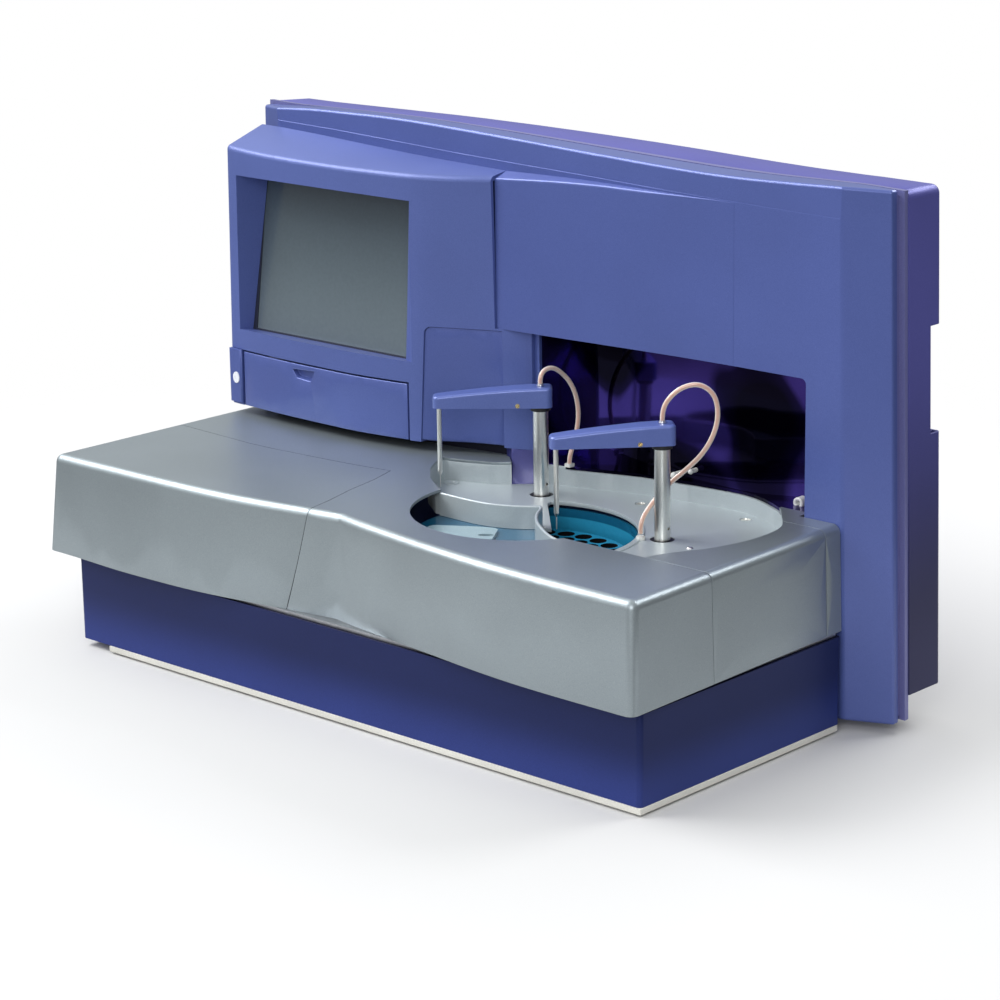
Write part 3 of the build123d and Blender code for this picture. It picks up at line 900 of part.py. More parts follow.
add("syringe_pump", pump_body, *barrels)

# ----------------------------------------------------------------- output
os.makedirs("parts", exist_ok=True)
for name, solids in parts.items():
    moved = [Pos(SHIFT_X, SHIFT_Y, SHIFT_Z) * s for s in solids]
    shape = moved[0] if len(moved) == 1 else Compound(children=moved)
    shape.label = name
    export_step(shape, "parts/" + name + ".step")
print(len(parts), "pieces")
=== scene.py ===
import json
import math
import bpy
import bmesh
from mathutils import Matrix, Vector


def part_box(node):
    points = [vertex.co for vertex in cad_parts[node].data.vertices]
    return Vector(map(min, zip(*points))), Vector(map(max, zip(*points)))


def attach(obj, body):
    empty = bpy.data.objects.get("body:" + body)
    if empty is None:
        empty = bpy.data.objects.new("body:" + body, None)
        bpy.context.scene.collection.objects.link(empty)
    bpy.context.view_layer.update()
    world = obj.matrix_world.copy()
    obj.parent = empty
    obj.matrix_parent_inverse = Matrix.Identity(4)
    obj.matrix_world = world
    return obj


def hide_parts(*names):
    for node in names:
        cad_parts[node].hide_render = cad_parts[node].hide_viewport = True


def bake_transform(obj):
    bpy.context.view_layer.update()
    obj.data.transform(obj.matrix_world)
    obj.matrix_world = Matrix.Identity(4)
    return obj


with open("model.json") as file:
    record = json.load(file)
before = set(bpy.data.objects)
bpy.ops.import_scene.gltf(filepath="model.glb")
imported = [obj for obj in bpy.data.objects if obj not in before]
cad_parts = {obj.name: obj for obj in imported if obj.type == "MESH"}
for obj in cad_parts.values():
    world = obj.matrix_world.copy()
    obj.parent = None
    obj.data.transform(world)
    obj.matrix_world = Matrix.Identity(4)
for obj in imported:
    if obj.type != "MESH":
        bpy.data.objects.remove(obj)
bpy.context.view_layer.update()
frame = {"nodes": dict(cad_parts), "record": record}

NODES = frame["nodes"]

# Bench frame of the part's source: origin at the front right bottom corner of the base, mm.
SX, SY, SZ = 395.4, -191.04, 8.5


def V(x, y, z):
    return Vector(((x + SX) / 1000.0, (y + SY) / 1000.0, (z + SZ) / 1000.0))


scene = bpy.context.scene

# ------------------------------------------------------------------ camera
right = Vector((0.73598672, 0.67684501, -0.01429591))
up = Vector((-0.17066169, 0.20592582, 0.96357104))
fwd = Vector((-0.65513215, 0.70673572, -0.26707019))
cam_data = bpy.data.cameras.new("camera")
cam_data.sensor_width = 36.0
cam_data.lens = 3084.0 * 36.0 / 1000.0
cam_data.clip_start, cam_data.clip_end = 0.05, 40.0
cam = bpy.data.objects.new("camera", cam_data)
scene.collection.objects.link(cam)
rot = Matrix((right, up, -fwd)).transposed().to_4x4()
cam.matrix_world = Matrix.Translation(V(1712.05548555, -2030.20795649, 1031.57959184)) @ rot
scene.camera = cam


# --------------------------------------------------------------- materials
def nodes_of(name):
    m = bpy.data.materials.new(name)
    m.use_nodes = True
    nt = m.node_tree
    nt.nodes.clear()
    out = nt.nodes.new("ShaderNodeOutputMaterial")
    bsdf = nt.nodes.new("ShaderNodeBsdfPrincipled")
    nt.links.new(bsdf.outputs[0], out.inputs[0])
    return m, nt, bsdf


def noise(nt, scale, detail=2.0, rough=0.5, stretch=None):
    tc = nt.nodes.new("ShaderNodeTexCoord")
    src = tc.outputs["Object"]
    if stretch:
        mp = nt.nodes.new("ShaderNodeMapping")
        mp.inputs["Scale"].default_value = stretch
        nt.links.new(src, mp.inputs["Vector"])
        src = mp.outputs["Vector"]
    n = nt.nodes.new("ShaderNodeTexNoise")
    n.inputs["Scale"].default_value = scale
    n.inputs["Detail"].default_value = detail
    n.inputs["Roughness"].default_value = rough
    nt.links.new(src, n.inputs["Vector"])
    return n


def ramp(nt, fac, stops):
    r = nt.nodes.new("ShaderNodeValToRGB")
    el = r.color_ramp.elements
    while len(el) < len(stops):
        el.new(0.5)
    for e, (p, c) in zip(el, stops):
        e.position = p
        e.color = (*c, 1.0)
    nt.links.new(fac, r.inputs[0])
    return r.outputs[0]


def spread(nt, fac, lo, hi):
    m = nt.nodes.new("ShaderNodeMapRange")
    m.inputs["From Min"].default_value = 0.3
    m.inputs["From Max"].default_value = 0.7
    m.inputs["To Min"].default_value = lo
    m.inputs["To Max"].default_value = hi
    nt.links.new(fac, m.inputs["Value"])
    return m.outputs[0]


def mix_color(nt, fac, a, b, mode="MIX"):
    m = nt.nodes.new("ShaderNodeMix")
    m.data_type = "RGBA"
    m.blend_type = mode
    if isinstance(fac, float):
        m.inputs[0].default_value = fac
    else:
        nt.links.new(fac, m.inputs[0])
    for sock, v in ((m.inputs[6], a), (m.inputs[7], b)):
        if isinstance(v, tuple):
            sock.default_value = (*v, 1.0)
        else:
            nt.links.new(v, sock)
    return m.outputs[2]


def bump(nt, bsdf, height, strength, dist):
    b = nt.nodes.new("ShaderNodeBump")
    b.inputs["Strength"].default_value = strength
    b.inputs["Distance"].default_value = dist
    nt.links.new(height, b.inputs["Height"])
    nt.links.new(b.outputs[0], bsdf.inputs["Normal"])


def height_shade(nt, z0, z1):
    """0 at height z0 and 1 at z1 (bench mm), from the object's own coordinates."""
    tc = nt.nodes.new("ShaderNodeTexCoord")
    sep = nt.nodes.new("ShaderNodeSeparateXYZ")
    nt.links.new(tc.outputs["Object"], sep.inputs[0])
    m = nt.nodes.new("ShaderNodeMapRange")
    m.interpolation_type = "SMOOTHSTEP"
    m.inputs["From Min"].default_value = (z0 + SZ) / 1000.0
    m.inputs["From Max"].default_value = (z1 + SZ) / 1000.0
    nt.links.new(sep.outputs[2], m.inputs["Value"])
    return m.outputs[0]


def paint(name, dark, light, metallic, rough, coat=0.25, flake=2600.0, bump_s=0.05, coat_rough=0.15, spec=0.5, height_painted_light=None):
    """Metallic paint: fine flakes in the colour, faint cloudiness, slight orange peel; an optional height ramp
    multiplies the colour as painted light and shade.
    """
    m, nt, b = nodes_of(name)
    fl = noise(nt, flake, 1.0, 0.6)
    cloud = noise(nt, 9.0, 3.0, 0.5)
    base = ramp(nt, fl.outputs[0], [(0.30, dark), (0.52, tuple((d + l) / 2 for d, l in zip(dark, light))), (0.74, light)])
    mul = ramp(nt, cloud.outputs[0], [(0.35, (0.94, 0.94, 0.94)), (0.65, (1.0, 1.0, 1.0))])
    col = mix_color(nt, 1.0, base, mul, "MULTIPLY")
    # painted light and shade: the colour is multiplied by a ramp from k0 at height z0 to k1 at z1
    if height_painted_light:
        z0, z1, k0, k1 = height_painted_light
        grad = ramp(nt, height_shade(nt, z0, z1), [(0.0, (k0,) * 3), (1.0, (k1,) * 3)])
        col = mix_color(nt, 1.0, col, grad, "MULTIPLY")
    nt.links.new(col, b.inputs["Base Color"])
    nt.links.new(spread(nt, fl.outputs[0], rough - 0.04, rough + 0.05), b.inputs["Roughness"])
    b.inputs["Metallic"].default_value = metallic
    b.inputs["Coat Weight"].default_value = coat
    b.inputs["Coat Roughness"].default_value = coat_rough
    b.inputs["Specular IOR Level"].default_value = spec
    peel = noise(nt, 420.0, 2.0, 0.5)
    bump(nt, b, peel.outputs[0], bump_s, 0.0002)
    return m


def plastic(name, col, rough=0.4, var=0.12, spec=0.5, grain=900.0, bump_s=0.06, coat=0.0, metallic=0.0):
    m, nt, b = nodes_of(name)
    n = noise(nt, grain, 2.0, 0.55)
    c = noise(nt, 14.0, 2.0, 0.5)
    lo = tuple(v * (1 - var) for v in col)
    hi = tuple(min(1.0, v * (1 + var)) for v in col)
    f = mix_color(nt, 0.5, n.outputs[0], c.outputs[0])
    nt.links.new(ramp(nt, f, [(0.35, lo), (0.65, hi)]), b.inputs["Base Color"])
    nt.links.new(spread(nt, n.outputs[0], rough - 0.05, rough + 0.06), b.inputs["Roughness"])
    b.inputs["Specular IOR Level"].default_value = spec
    b.inputs["Metallic"].default_value = metallic
    b.inputs["Coat Weight"].default_value = coat
    bump(nt, b, n.outputs[0], bump_s, 0.0001)
    return m


def metal(name, col, rough=0.28, stretch=(1.0, 1.0, 60.0), scale=120.0, bump_s=0.08, lo_k=0.82, hi_k=1.12):
    """Turned or brushed metal, its fine lines across the stretch axis."""
    m, nt, b = nodes_of(name)
    n = noise(nt, scale, 3.0, 0.6, stretch)
    lo = tuple(v * lo_k for v in col)
    hi = tuple(min(1.0, v * hi_k) for v in col)
    nt.links.new(ramp(nt, n.outputs[0], [(0.3, lo), (0.7, hi)]), b.inputs["Base Color"])
    nt.links.new(spread(nt, n.outputs[0], rough - 0.03, rough + 0.04), b.inputs["Roughness"])
    b.inputs["Metallic"].default_value = 1.0
    bump(nt, b, n.outputs[0], bump_s, 0.00005)
    return m


def wavy_gloss(name):
    """Dark glossy acrylic with painted reflections: soft patches of purple and near black in its colour stand for its
    surroundings mirrored in its slightly uneven surface.
    """
    m, nt, b = nodes_of(name)
    warp = noise(nt, 7.0, 1.5, 0.5, (1.0, 1.0, 0.8))
    tc = nt.nodes.new("ShaderNodeTexCoord")
    add = nt.nodes.new("ShaderNodeVectorMath")
    add.operation = "ADD"
    sc = nt.nodes.new("ShaderNodeVectorMath")
    sc.operation = "SCALE"
    sc.inputs["Scale"].default_value = 0.10
    nt.links.new(warp.outputs["Color"], sc.inputs[0])
    nt.links.new(tc.outputs["Object"], add.inputs[0])
    nt.links.new(sc.outputs[0], add.inputs[1])
    n = nt.nodes.new("ShaderNodeTexNoise")
    n.inputs["Scale"].default_value = 8.5
    n.inputs["Detail"].default_value = 0.6
    nt.links.new(add.outputs[0], n.inputs["Vector"])
    # patches of near black and purple in the colour: painted reflections of the surroundings
    col = ramp(nt, n.outputs[0], [(0.38, (0.002, 0.001, 0.008)), (0.44, (0.006, 0.003, 0.030)),
                                  (0.475, (0.040, 0.024, 0.170)), (0.62, (0.055, 0.034, 0.225)), (0.68, (0.010, 0.005, 0.050))])
    nt.links.new(col, b.inputs["Base Color"])
    nt.links.new(spread(nt, n.outputs[0], 0.04, 0.10), b.inputs["Roughness"])
    b.inputs["Specular IOR Level"].default_value = 0.2
    b.inputs["Metallic"].default_value = 0.85
    bump(nt, b, warp.outputs[0], 0.5, 0.006)
    return m


def shaded(name, stops, z0, z1, rough, coat=0.0, grain=260.0, metallic=0.0, bump_s=0.02):
    """Plastic with painted light and shade: its colour changes with height between two bench heights."""
    m, nt, b = nodes_of(name)
    n = noise(nt, grain, 2.0, 0.5)
    col = ramp(nt, height_shade(nt, z0, z1), stops)
    mul = ramp(nt, n.outputs[0], [(0.3, (0.93, 0.93, 0.93)), (0.7, (1.0, 1.0, 1.0))])
    nt.links.new(mix_color(nt, 1.0, col, mul, "MULTIPLY"), b.inputs["Base Color"])
    nt.links.new(spread(nt, n.outputs[0], max(0.02, rough - 0.04), rough + 0.05), b.inputs["Roughness"])
    b.inputs["Metallic"].default_value = metallic
    b.inputs["Coat Weight"].default_value = coat
    bump(nt, b, n.outputs[0], bump_s, 0.0001)
    return m


def hose_look(name):
    """Clear flexible hose over a pinkish core: pale where the surface turns away as a painted edge highlight on the
    clear wall, warmer in the middle where the core shows.
    """
    m, nt, b = nodes_of(name)
    n = noise(nt, 300.0, 2.0, 0.5)
    lw = nt.nodes.new("ShaderNodeLayerWeight")
    lw.inputs["Blend"].default_value = 0.35
    # the colour turns pale towards the outline: painted edge highlight
    edge = ramp(nt, lw.outputs["Facing"], [(0.0, (0.62, 0.36, 0.28)), (0.22, (0.74, 0.56, 0.47)), (0.55, (0.88, 0.85, 0.80)), (1.0, (0.70, 0.68, 0.62))])
    mul = ramp(nt, n.outputs[0], [(0.3, (0.94, 0.94, 0.94)), (0.7, (1.0, 1.0, 1.0))])
    nt.links.new(mix_color(nt, 1.0, edge, mul, "MULTIPLY"), b.inputs["Base Color"])
    nt.links.new(spread(nt, n.outputs[0], 0.16, 0.24), b.inputs["Roughness"])
    b.inputs["Coat Weight"].default_value = 0.8
    bump(nt, b, n.outputs[0], 0.02, 0.0001)
    return m


M = {}
# the base's colour is lighter towards the foot as painted bounce light from the floor, and darker towards the top as
# painted shade under the deck's overhang
M["blue_base"] = paint("blue_base", (0.024, 0.042, 0.200), (0.044, 0.070, 0.315), 0.32, 0.42, coat=0.03, bump_s=0.03, spec=0.2,
                       height_painted_light=(0.0, 60.0, 0.80, 0.34))
M["blue_panel"] = paint("blue_panel", (0.064, 0.094, 0.310), (0.105, 0.148, 0.425), 0.30, 0.36, bump_s=0.03)
# the casing's colour is darker towards the bottom: painted shade
M["blue_casing"] = paint("blue_casing", (0.078, 0.080, 0.300), (0.115, 0.118, 0.400), 0.25, 0.42, coat=0.05, bump_s=0.03, spec=0.3,
                         height_painted_light=(100.0, 400.0, 0.22, 1.0))
M["blue_arm"] = paint("blue_arm", (0.092, 0.135, 0.400), (0.150, 0.205, 0.530), 0.25, 0.34, bump_s=0.03)
M["blue_housing"] = paint("blue_housing", (0.070, 0.102, 0.310), (0.112, 0.156, 0.425), 0.22, 0.42, coat=0.10, bump_s=0.03)
M["rim_plastic"] = paint("rim_plastic", (0.130, 0.135, 0.330), (0.19, 0.195, 0.43), 0.25, 0.38, bump_s=0.03)
M["silver_cover"] = paint("silver_cover", (0.250, 0.295, 0.318), (0.385, 0.435, 0.462), 0.76, 0.42, coat=0.15, bump_s=0.03, coat_rough=0.35)
# a lighter copy of the silver paint: painted light for the bay's tray, splash wall and wash cup
M["silver_bay_painted_light"] = paint("silver_bay_painted_light", (0.380, 0.435, 0.460), (0.530, 0.590, 0.615), 0.25, 0.38, coat=0.15, bump_s=0.02)
M["bezel_blue"] = plastic("bezel_blue", (0.015, 0.018, 0.035), 0.42)
M["light_plate"] = plastic("light_plate", (0.62, 0.61, 0.56), 0.5)
M["rubber"] = plastic("rubber", (0.022, 0.022, 0.022), 0.8, grain=400, bump_s=0.3)
# the liner's colour has a darker band at the top, below the rim: painted shade
M["teal"] = shaded("teal", [(0.0, (0.014, 0.190, 0.330)), (0.66, (0.022, 0.250, 0.420)), (0.70, (0.006, 0.085, 0.170)), (1.0, (0.008, 0.100, 0.190))],
                   138.0, 178.0, 0.16, coat=0.4)
M["seam_dark"] = plastic("seam_dark", (0.012, 0.013, 0.016), 0.6, spec=0.1)
M["shade_blue"] = plastic("shade_blue", (0.008, 0.010, 0.040), 0.6, spec=0.15)
M["void_black"] = plastic("void_black", (0.004, 0.004, 0.005), 0.7, spec=0.1)
# near black for the neck under the screen housing: painted shade
M["neck_dark"] = plastic("neck_dark", (0.006, 0.006, 0.014), 0.6, spec=0.15)
# a darker copy of the blue paint for the pillar: painted shade
M["pillar_painted_shade"] = paint("pillar_painted_shade", (0.024, 0.026, 0.140), (0.044, 0.048, 0.215), 0.30, 0.36, bump_s=0.03)
M["cover_light"] = plastic("cover_light", (0.30, 0.42, 0.47), 0.22, coat=0.4)
M["cover_teal"] = plastic("cover_teal", (0.045, 0.150, 0.200), 0.10, coat=0.6)
M["zinc_steel"] = metal("zinc_steel", (0.45, 0.46, 0.48), 0.4, (1, 40, 1), 60)
M["steel"] = metal("steel", (0.88, 0.865, 0.82), 0.30, (1.0, 1.0, 6.0), 500.0, 0.01, 0.96, 1.04)
M["purple_gloss"] = wavy_gloss("purple_gloss")
M["button_white"] = plastic("button_white", (0.78, 0.80, 0.86), 0.35)
# the glass's colour darkens towards the top: painted shade under the top of the recess
M["screen_glass"] = shaded("screen_glass", [(0.0, (0.115, 0.145, 0.165)), (0.45, (0.085, 0.110, 0.128)), (1.0, (0.055, 0.075, 0.092))],
                           300.0, 470.0, 0.16, coat=0.3)
M["dark_module"] = plastic("dark_module", (0.02, 0.02, 0.022), 0.5)
M["black_plastic"] = plastic("black_plastic", (0.016, 0.016, 0.018), 0.4)
M["tube_silicone"] = hose_look("tube_silicone")
M["fitting_white"] = plastic("fitting_white", (0.74, 0.75, 0.72), 0.35)
M["bottle_white"] = plastic("bottle_white", (0.6, 0.64, 0.66), 0.45)
M["board_green"] = plastic("board_green", (0.02, 0.16, 0.07), 0.4)
M["aluminium"] = metal("aluminium", (0.58, 0.59, 0.6), 0.35, (1, 1, 30), 80)
M["brass"] = metal("brass", (0.70, 0.55, 0.30), 0.25)

SLOT = {s["node"]: s["material_slot"] for s in frame["record"]["subparts"]}
# the bay's tray, splash wall and wash cup take the lighter silver copy: painted light in the bay
for n, o in NODES.items():
    if not o.material_slots:
        o.data.materials.append(None)
    for ms in o.material_slots:
        ms.link = "OBJECT"
        ms.material = M["silver_bay_painted_light" if n in ("arm_bay_tray", "well_splash_wall", "wash_cup") else SLOT[n]]


# ------------------------------------------------- small rounding of CAD edges
def soften(node, width_mm, segments=2, angle=38.0):
    o = NODES[node]
    w = o.modifiers.new("join", "WELD")
    w.merge_threshold = 0.000004
    b = o.modifiers.new("edge", "BEVEL")
    b.width = width_mm / 1000.0
    b.segments = segments
    b.limit_method = "ANGLE"
    b.angle_limit = math.radians(angle)
    b.use_clamp_overlap = True
    b.harden_normals = True
    b.miter_outer = "MITER_ARC"


for node, width in (("base_cabinet", 0.7), ("drawer_front", 0.8), ("housing_side_panel", 0.7),
                    ("power_button_block", 0.6), ("deck_flap_cover", 0.6), ("deck_main_cover", 0.6),
                    ("deck_rear_cover", 0.6), ("deck_rear_trim", 0.6), ("base_plate", 0.6), ("housing_neck", 0.6),
                    ("arm_bay_tray", 0.9), ("power_button", 1.0), ("rear_casing", 0.6)):
    if node in NODES:
        soften(node, width)

# ------------------------------------------------------------ added pieces
def new_object(name, bm_or_mesh, material, body):
    if isinstance(bm_or_mesh, bpy.types.Mesh):
        me = bm_or_mesh
    else:
        me = bpy.data.meshes.new(name)
        bm_or_mesh.to_mesh(me)
        bm_or_mesh.free()
    me.materials.append(material)
    o = bpy.data.objects.new(name, me)
    scene.collection.objects.link(o)
    if body:
        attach(o, body)
    return o


def spline_points(name, route_mm):
    """Points along a NURBS of order 3 through the route's control points."""
    cu = bpy.data.curves.new(name + "_line", "CURVE")
    cu.dimensions = "3D"
    cu.resolution_u = 14
    sp = cu.splines.new("NURBS")
    sp.points.add(len(route_mm) - 1)
    for p, c in zip(sp.points, route_mm):
        p.co = (*V(*c), 1.0)
    sp.order_u = 3
    sp.use_endpoint_u = True
    ob = bpy.data.objects.new(name + "_line", cu)
    scene.collection.objects.link(ob)
    bpy.context.view_layer.update()
    me = bpy.data.meshes.new_from_object(ob)
    pts = [v.co.copy() for v in me.vertices]
    bpy.data.objects.remove(ob)
    bpy.data.curves.remove(cu)
    bpy.data.meshes.remove(me)
    out = [pts[0]]
    for p in pts[1:]:
        if (p - out[-1]).length > 0.0002:
            out.append(p)
    return out


def tube_mesh(name, pts, radius, around=20):
    """Round tube along points, its end rings square to the run and closed."""
    bm = bmesh.new()
    tang = []
    for i in range(len(pts)):
        a, b = pts[max(i - 1, 0)], pts[min(i + 1, len(pts) - 1)]
        tang.append((b - a).normalized())
    n = tang[0].orthogonal().normalized()
    rings = []
    for i, p in enumerate(pts):
        n = (n - tang[i] * n.dot(tang[i])).normalized()
        m = tang[i].cross(n)
        rings.append([bm.verts.new(p + (n * math.cos(t) + m * math.sin(t)) * radius)
                      for t in (2 * math.pi * k / around for k in range(around))])
    for r0, r1 in zip(rings, rings[1:]):
        for k in range(around):
            f = bm.faces.new((r0[k], r0[(k + 1) % around], r1[(k + 1) % around], r1[k]))
            f.smooth = True
    bm.faces.new(rings[0][::-1])
    bm.faces.new(rings[-1])
    bmesh.ops.recalc_face_normals(bm, faces=bm.faces)
    me = bpy.data.meshes.new(name)
    bm.to_mesh(me)
    bm.free()
    return me


# hoses to the arms: the routes of the part's source, mm
L_TUBE = [(-364.0, 273.0, 296.4), (-364.0, 273.0, 304.0), (-363.8, 279.5, 310.0), (-363.4, 291.5, 310.5),
          (-363.0, 304.5, 303.0), (-363.0, 318.0, 291.0), (-363.0, 328.0, 274.0), (-363.0, 332.0, 254.0),
          (-363.0, 328.5, 234.0), (-363.0, 320.5, 217.5), (-363.0, 316.5, 208.0), (-363.0, 316.5, 202.5)]
R_TUBE = [(-160.0, 224.5, 298.9), (-160.0, 224.5, 308.5), (-156.0, 228.3, 320.5), (-146.5, 237.2, 332.0),
          (-133.5, 249.4, 335.6), (-122.8, 259.4, 325.0), (-119.8, 262.2, 306.0), (-123.0, 260.6, 285.5),
          (-132.8, 255.4, 264.5), (-148.4, 249.2, 247.0), (-164.5, 241.0, 231.5), (-174.5, 228.0, 213.5),
          (-176.0, 214.5, 201.0), (-176.0, 210.0, 192.0), (-176.0, 210.0, 184.0)]
for side, route, length in (("left", L_TUBE, 0.1544), ("right", R_TUBE, 0.2458)):
    pts = spline_points(side + "_hose", route)
    me = tube_mesh(side + "_hose", pts, 0.0025)
    hose = new_object(side + "_hose", me, M["tube_silicone"], None)
    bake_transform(hose)
    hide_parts(side + "_arm_tube")


def paint_faces(node, test, material):
    """Gives the faces of one solid inside a node another finish; test takes the face centre in bench mm."""
    o = NODES[node]
    me = o.data
    me.materials.append(material)
    k = len(me.materials) - 1
    o.material_slots[k].link = "OBJECT"
    o.material_slots[k].material = material
    hit = 0
    for p in me.polygons:
        c = p.center
        if test(c.x * 1000 - SX, c.y * 1000 - SY, c.z * 1000 - SZ):
            p.material_index = k
            hit += 1
    return hit


for side in ("left", "right"):
    # the set screw is the only solid of that node that stands outside the cover's side
    def is_screw(x, y, z, side=side):
        cx, cy = (-364.0, 273.0) if side == "left" else (-160.0, 224.5)
        bot = 273.0 if side == "left" else 275.8
        d = math.hypot(x - cx, y - cy)
        return bot + 0.3 < z < bot + 5.6 and 24.5 < d < 29.5 and abs(z - (bot + 2.9)) < 2.5 and _outside(side, x, y)

    def _outside(side, x, y):
        cx, cy = (-364.0, 273.0) if side == "left" else (-160.0, 224.5)
        tx, ty = TIPS[side]
        ux, uy = tx - cx, ty - cy
        n = math.hypot(ux, uy)
        return abs((x - cx) * (-uy) + (y - cy) * ux) / n > 9.0

    TIPS = {}
    for sd in ("left", "right"):
        a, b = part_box(sd + "_probe")
        c = (a + b) / 2 * 1000
        TIPS[sd] = (c.x - SX, c.y - SY)
    paint_faces(side + "_arm_chassis", is_screw, M["brass"])

# the closed neck under the screen housing is painted near black as painted shade under the housing's overhang; the
# pillar beside it gets a darker copy of the blue paint as painted shade
paint_faces("housing_neck", lambda x, y, z: x < -440.2 and z > 199.0, M["neck_dark"])
paint_faces("housing_neck", lambda x, y, z: x >= -440.2, M["pillar_painted_shade"])
# cover over the front of the well: clear tinted sheet with a light plate on it
paint_faces("well_cover", lambda x, y, z: z > 175.02, M["cover_light"])
WX, WY = -283.0, 157.0


def in_hole(x, y, z):
    for r, n, a0, pitch in ((8.9, 28, math.radians(2.3), 94.0), (7.0, 28, math.radians(7.7), 78.0)):
        for i in range(n):
            t = 2 * math.pi * i / n + a0
            if math.hypot(x - WX - pitch * math.cos(t), y - WY - pitch * math.sin(t)) < r + 0.15:
                return True
    return False


# the walls of the carousel's holes are painted near black: painted shade inside the deep holes
paint_faces("reagent_carousel", in_hole, M["void_black"])
# the upper rim of the base lies in the shade of the deck
paint_faces("base_cabinet", lambda x, y, z: z > 90.2, M["shade_blue"])

# walls of the narrow seams between the deck covers: plan lines at the top and at the skirt, mm
LID_TOP = [(-900, 172), (-806, 169), (-687, 161), (-650, 161.5), (-612, 164), (-580, 166), (-548, 168.5),
           (-520, 171.5), (-489, 176), (-477, 139), (-468, 96), (-456, 56), (-449, 26), (-446, 12), (-441, -60)]
LID_BOT = LID_TOP[:-3] + [(-462, 26), (-474, 7), (-478, -60)]


def seam_wall(node, reach=1.0):
    """Gives the faces along the cover's seam a dark colour: painted shade in a deep gap."""
    o = NODES[node]
    me = o.data
    me.materials.append(M["seam_dark"])
    k = len(me.materials) - 1
    o.material_slots[k].link = "OBJECT"
    o.material_slots[k].material = M["seam_dark"]
    for p in me.polygons:
        c, nrm = p.center, p.normal
        x, y, z = c.x * 1000 - SX, c.y * 1000 - SY, c.z * 1000 - SZ
        t = min(1.0, max(0.0, (z - 94.5) / 107.5))
        line = [(b[0] + (a[0] - b[0]) * t, b[1] + (a[1] - b[1]) * t) for a, b in zip(LID_TOP, LID_BOT)]
        for (ax, ay), (bx, by) in zip(line, line[1:]):
            lx, ly = bx - ax, by - ay
            ln = math.hypot(lx, ly)
            s = ((x - ax) * lx + (y - ay) * ly) / (ln * ln)
            if -0.02 < s < 1.02:
                d = abs((x - ax) * ly - (y - ay) * lx) / ln
                if d < reach and abs(nrm.x * ly - nrm.y * lx) / ln > 0.8:
                    p.material_index = k
                    break


for node in ("deck_flap_cover", "deck_main_cover"):
    seam_wall(node)
for side in ("left", "right"):
    for ms in NODES[side + "_arm_cover"].material_slots:
        ms.material = M["blue_arm"]
for ms in NODES["monitor_housing"].material_slots:
    ms.material = M["blue_housing"]

# ------------------------------------------------------------------- stage
fl = bmesh.new()
bmesh.ops.create_grid(fl, x_segments=2, y_segments=2, size=6.0)
fm = bpy.data.meshes.new("floor")
fl.to_mesh(fm)
fl.free()
floor = bpy.data.objects.new("floor", fm)
scene.collection.objects.link(floor)
floor.location = (0, 0, 0)
mf, nt, b = nodes_of("floor_pale")
b.inputs["Base Color"].default_value = (0.60, 0.60, 0.60, 1)
b.inputs["Roughness"].default_value = 0.8
b.inputs["Specular IOR Level"].default_value = 0.1
# the floor fades into the white surroundings
tcf = nt.nodes.new("ShaderNodeTexCoord")
ln = nt.nodes.new("ShaderNodeVectorMath")
ln.operation = "LENGTH"
nt.links.new(tcf.outputs["Object"], ln.inputs[0])
mr = nt.nodes.new("ShaderNodeMapRange")
mr.interpolation_type = "SMOOTHSTEP"
mr.inputs["From Min"].default_value = 0.62
mr.inputs["From Max"].default_value = 1.5
nt.links.new(ln.outputs["Value"], mr.inputs["Value"])
clear = nt.nodes.new("ShaderNodeBsdfTransparent")
mixf = nt.nodes.new("ShaderNodeMixShader")
outf = [n for n in nt.nodes if n.type == "OUTPUT_MATERIAL"][0]
nt.links.new(mr.outputs[0], mixf.inputs[0])
nt.links.new(b.outputs[0], mixf.inputs[1])
nt.links.new(clear.outputs[0], mixf.inputs[2])
nt.links.new(mixf.outputs[0], outf.inputs[0])
fm.materials.append(mf)

scene.view_settings.view_transform = "Standard"
scene.view_settings.look = "None"
scene.view_settings.exposure = 0.0
scene.view_settings.gamma = 1.0

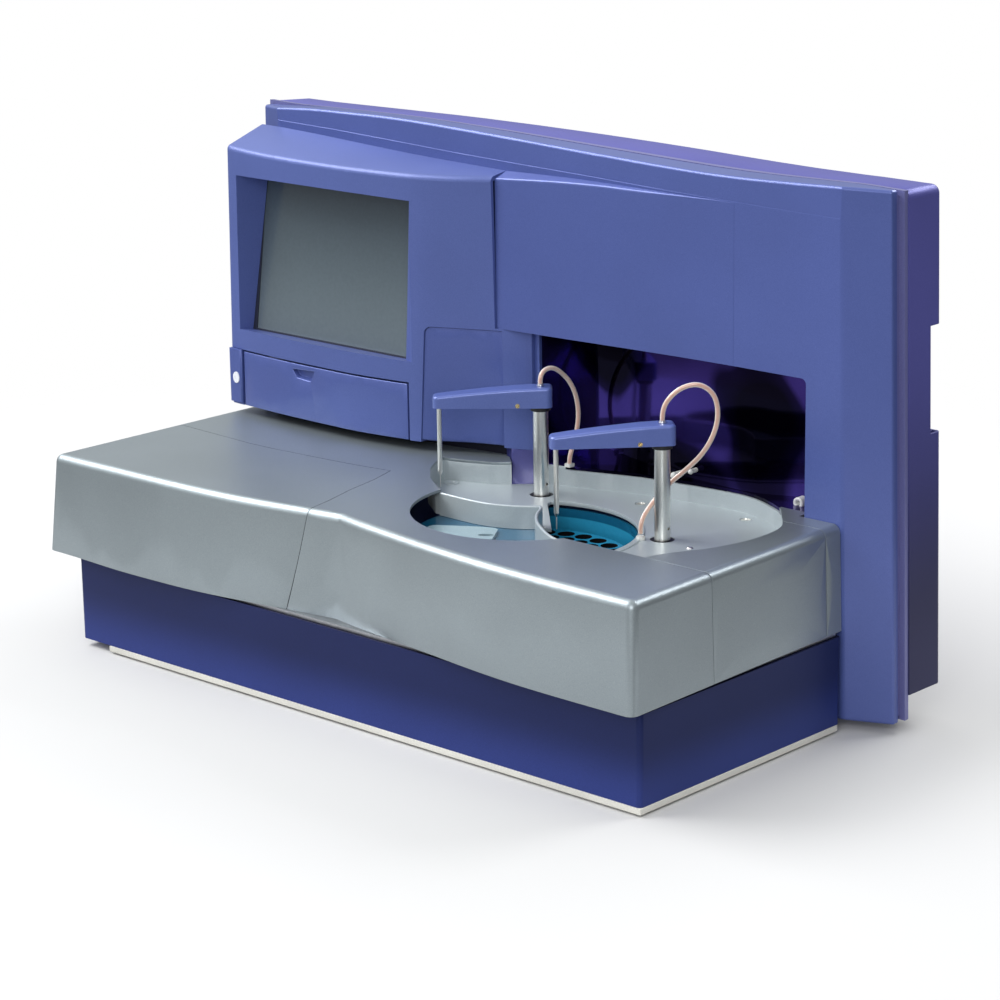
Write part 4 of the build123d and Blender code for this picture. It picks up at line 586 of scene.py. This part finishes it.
# surroundings: white to the eye; the light they give is brighter above and to the left
world = bpy.data.worlds.new("studio")
scene.world = world
world.use_nodes = True
wt = world.node_tree
wt.nodes.clear()
wout = wt.nodes.new("ShaderNodeOutputWorld")
seen = wt.nodes.new("ShaderNodeBackground")
seen.inputs[0].default_value = (1, 1, 1, 1)
seen.inputs[1].default_value = 1.0
lit = wt.nodes.new("ShaderNodeBackground")
lp = wt.nodes.new("ShaderNodeLightPath")
mixw = wt.nodes.new("ShaderNodeMixShader")
wt.links.new(lp.outputs["Is Camera Ray"], mixw.inputs[0])
wt.links.new(lit.outputs[0], mixw.inputs[1])
wt.links.new(seen.outputs[0], mixw.inputs[2])
wt.links.new(mixw.outputs[0], wout.inputs[0])
tcw = wt.nodes.new("ShaderNodeTexCoord")
sepw = wt.nodes.new("ShaderNodeSeparateXYZ")
wt.links.new(tcw.outputs["Generated"], sepw.inputs[0])
rw = wt.nodes.new("ShaderNodeMapRange")
rw.inputs["From Min"].default_value = -0.05
rw.inputs["From Max"].default_value = 0.75
rw.inputs["To Min"].default_value = 0.16
rw.inputs["To Max"].default_value = 1.05
wt.links.new(sepw.outputs[2], rw.inputs["Value"])
side_w = wt.nodes.new("ShaderNodeMapRange")
side_w.inputs["From Min"].default_value = -1.0
side_w.inputs["From Max"].default_value = 1.0
side_w.inputs["To Min"].default_value = 1.35
side_w.inputs["To Max"].default_value = 0.35
turn = wt.nodes.new("ShaderNodeVectorMath")
turn.operation = "DOT_PRODUCT"
turn.inputs[1].default_value = (0.85, 0.53, 0.0)
wt.links.new(tcw.outputs["Generated"], turn.inputs[0])
wt.links.new(turn.outputs["Value"], side_w.inputs["Value"])
mulw = wt.nodes.new("ShaderNodeMath")
mulw.operation = "MULTIPLY"
wt.links.new(rw.outputs[0], mulw.inputs[0])
wt.links.new(side_w.outputs[0], mulw.inputs[1])
wt.links.new(mulw.outputs[0], lit.inputs[1])
lit.inputs[0].default_value = (0.97, 0.985, 1.0, 1)


def area(name, loc, target, size, size_y, power, color=(1, 1, 1)):
    d = bpy.data.lights.new(name, "AREA")
    d.shape = "RECTANGLE"
    d.size, d.size_y = size, size_y
    d.energy = power
    d.color = color
    o = bpy.data.objects.new(name, d)
    scene.collection.objects.link(o)
    o.location = loc
    o.rotation_mode = "QUATERNION"
    o.rotation_quaternion = (Vector(target) - Vector(loc)).to_track_quat("-Z", "Y")
    return o


area("left_top", (-1.8, -1.0, 2.3), (-0.1, -0.05, 0.25), 2.2, 1.5, 80)
area("back_top", (0.7, 1.9, 2.0), (0, 0, 0.3), 2.0, 0.8, 44)
area("front_soft", (-1.1, -2.6, 1.1), (-0.1, 0, 0.25), 1.5, 1.2, 5)
area("camera_side", (1.7, -2.0, 1.3), (0, 0, 0.35), 1.3, 1.0, 26)
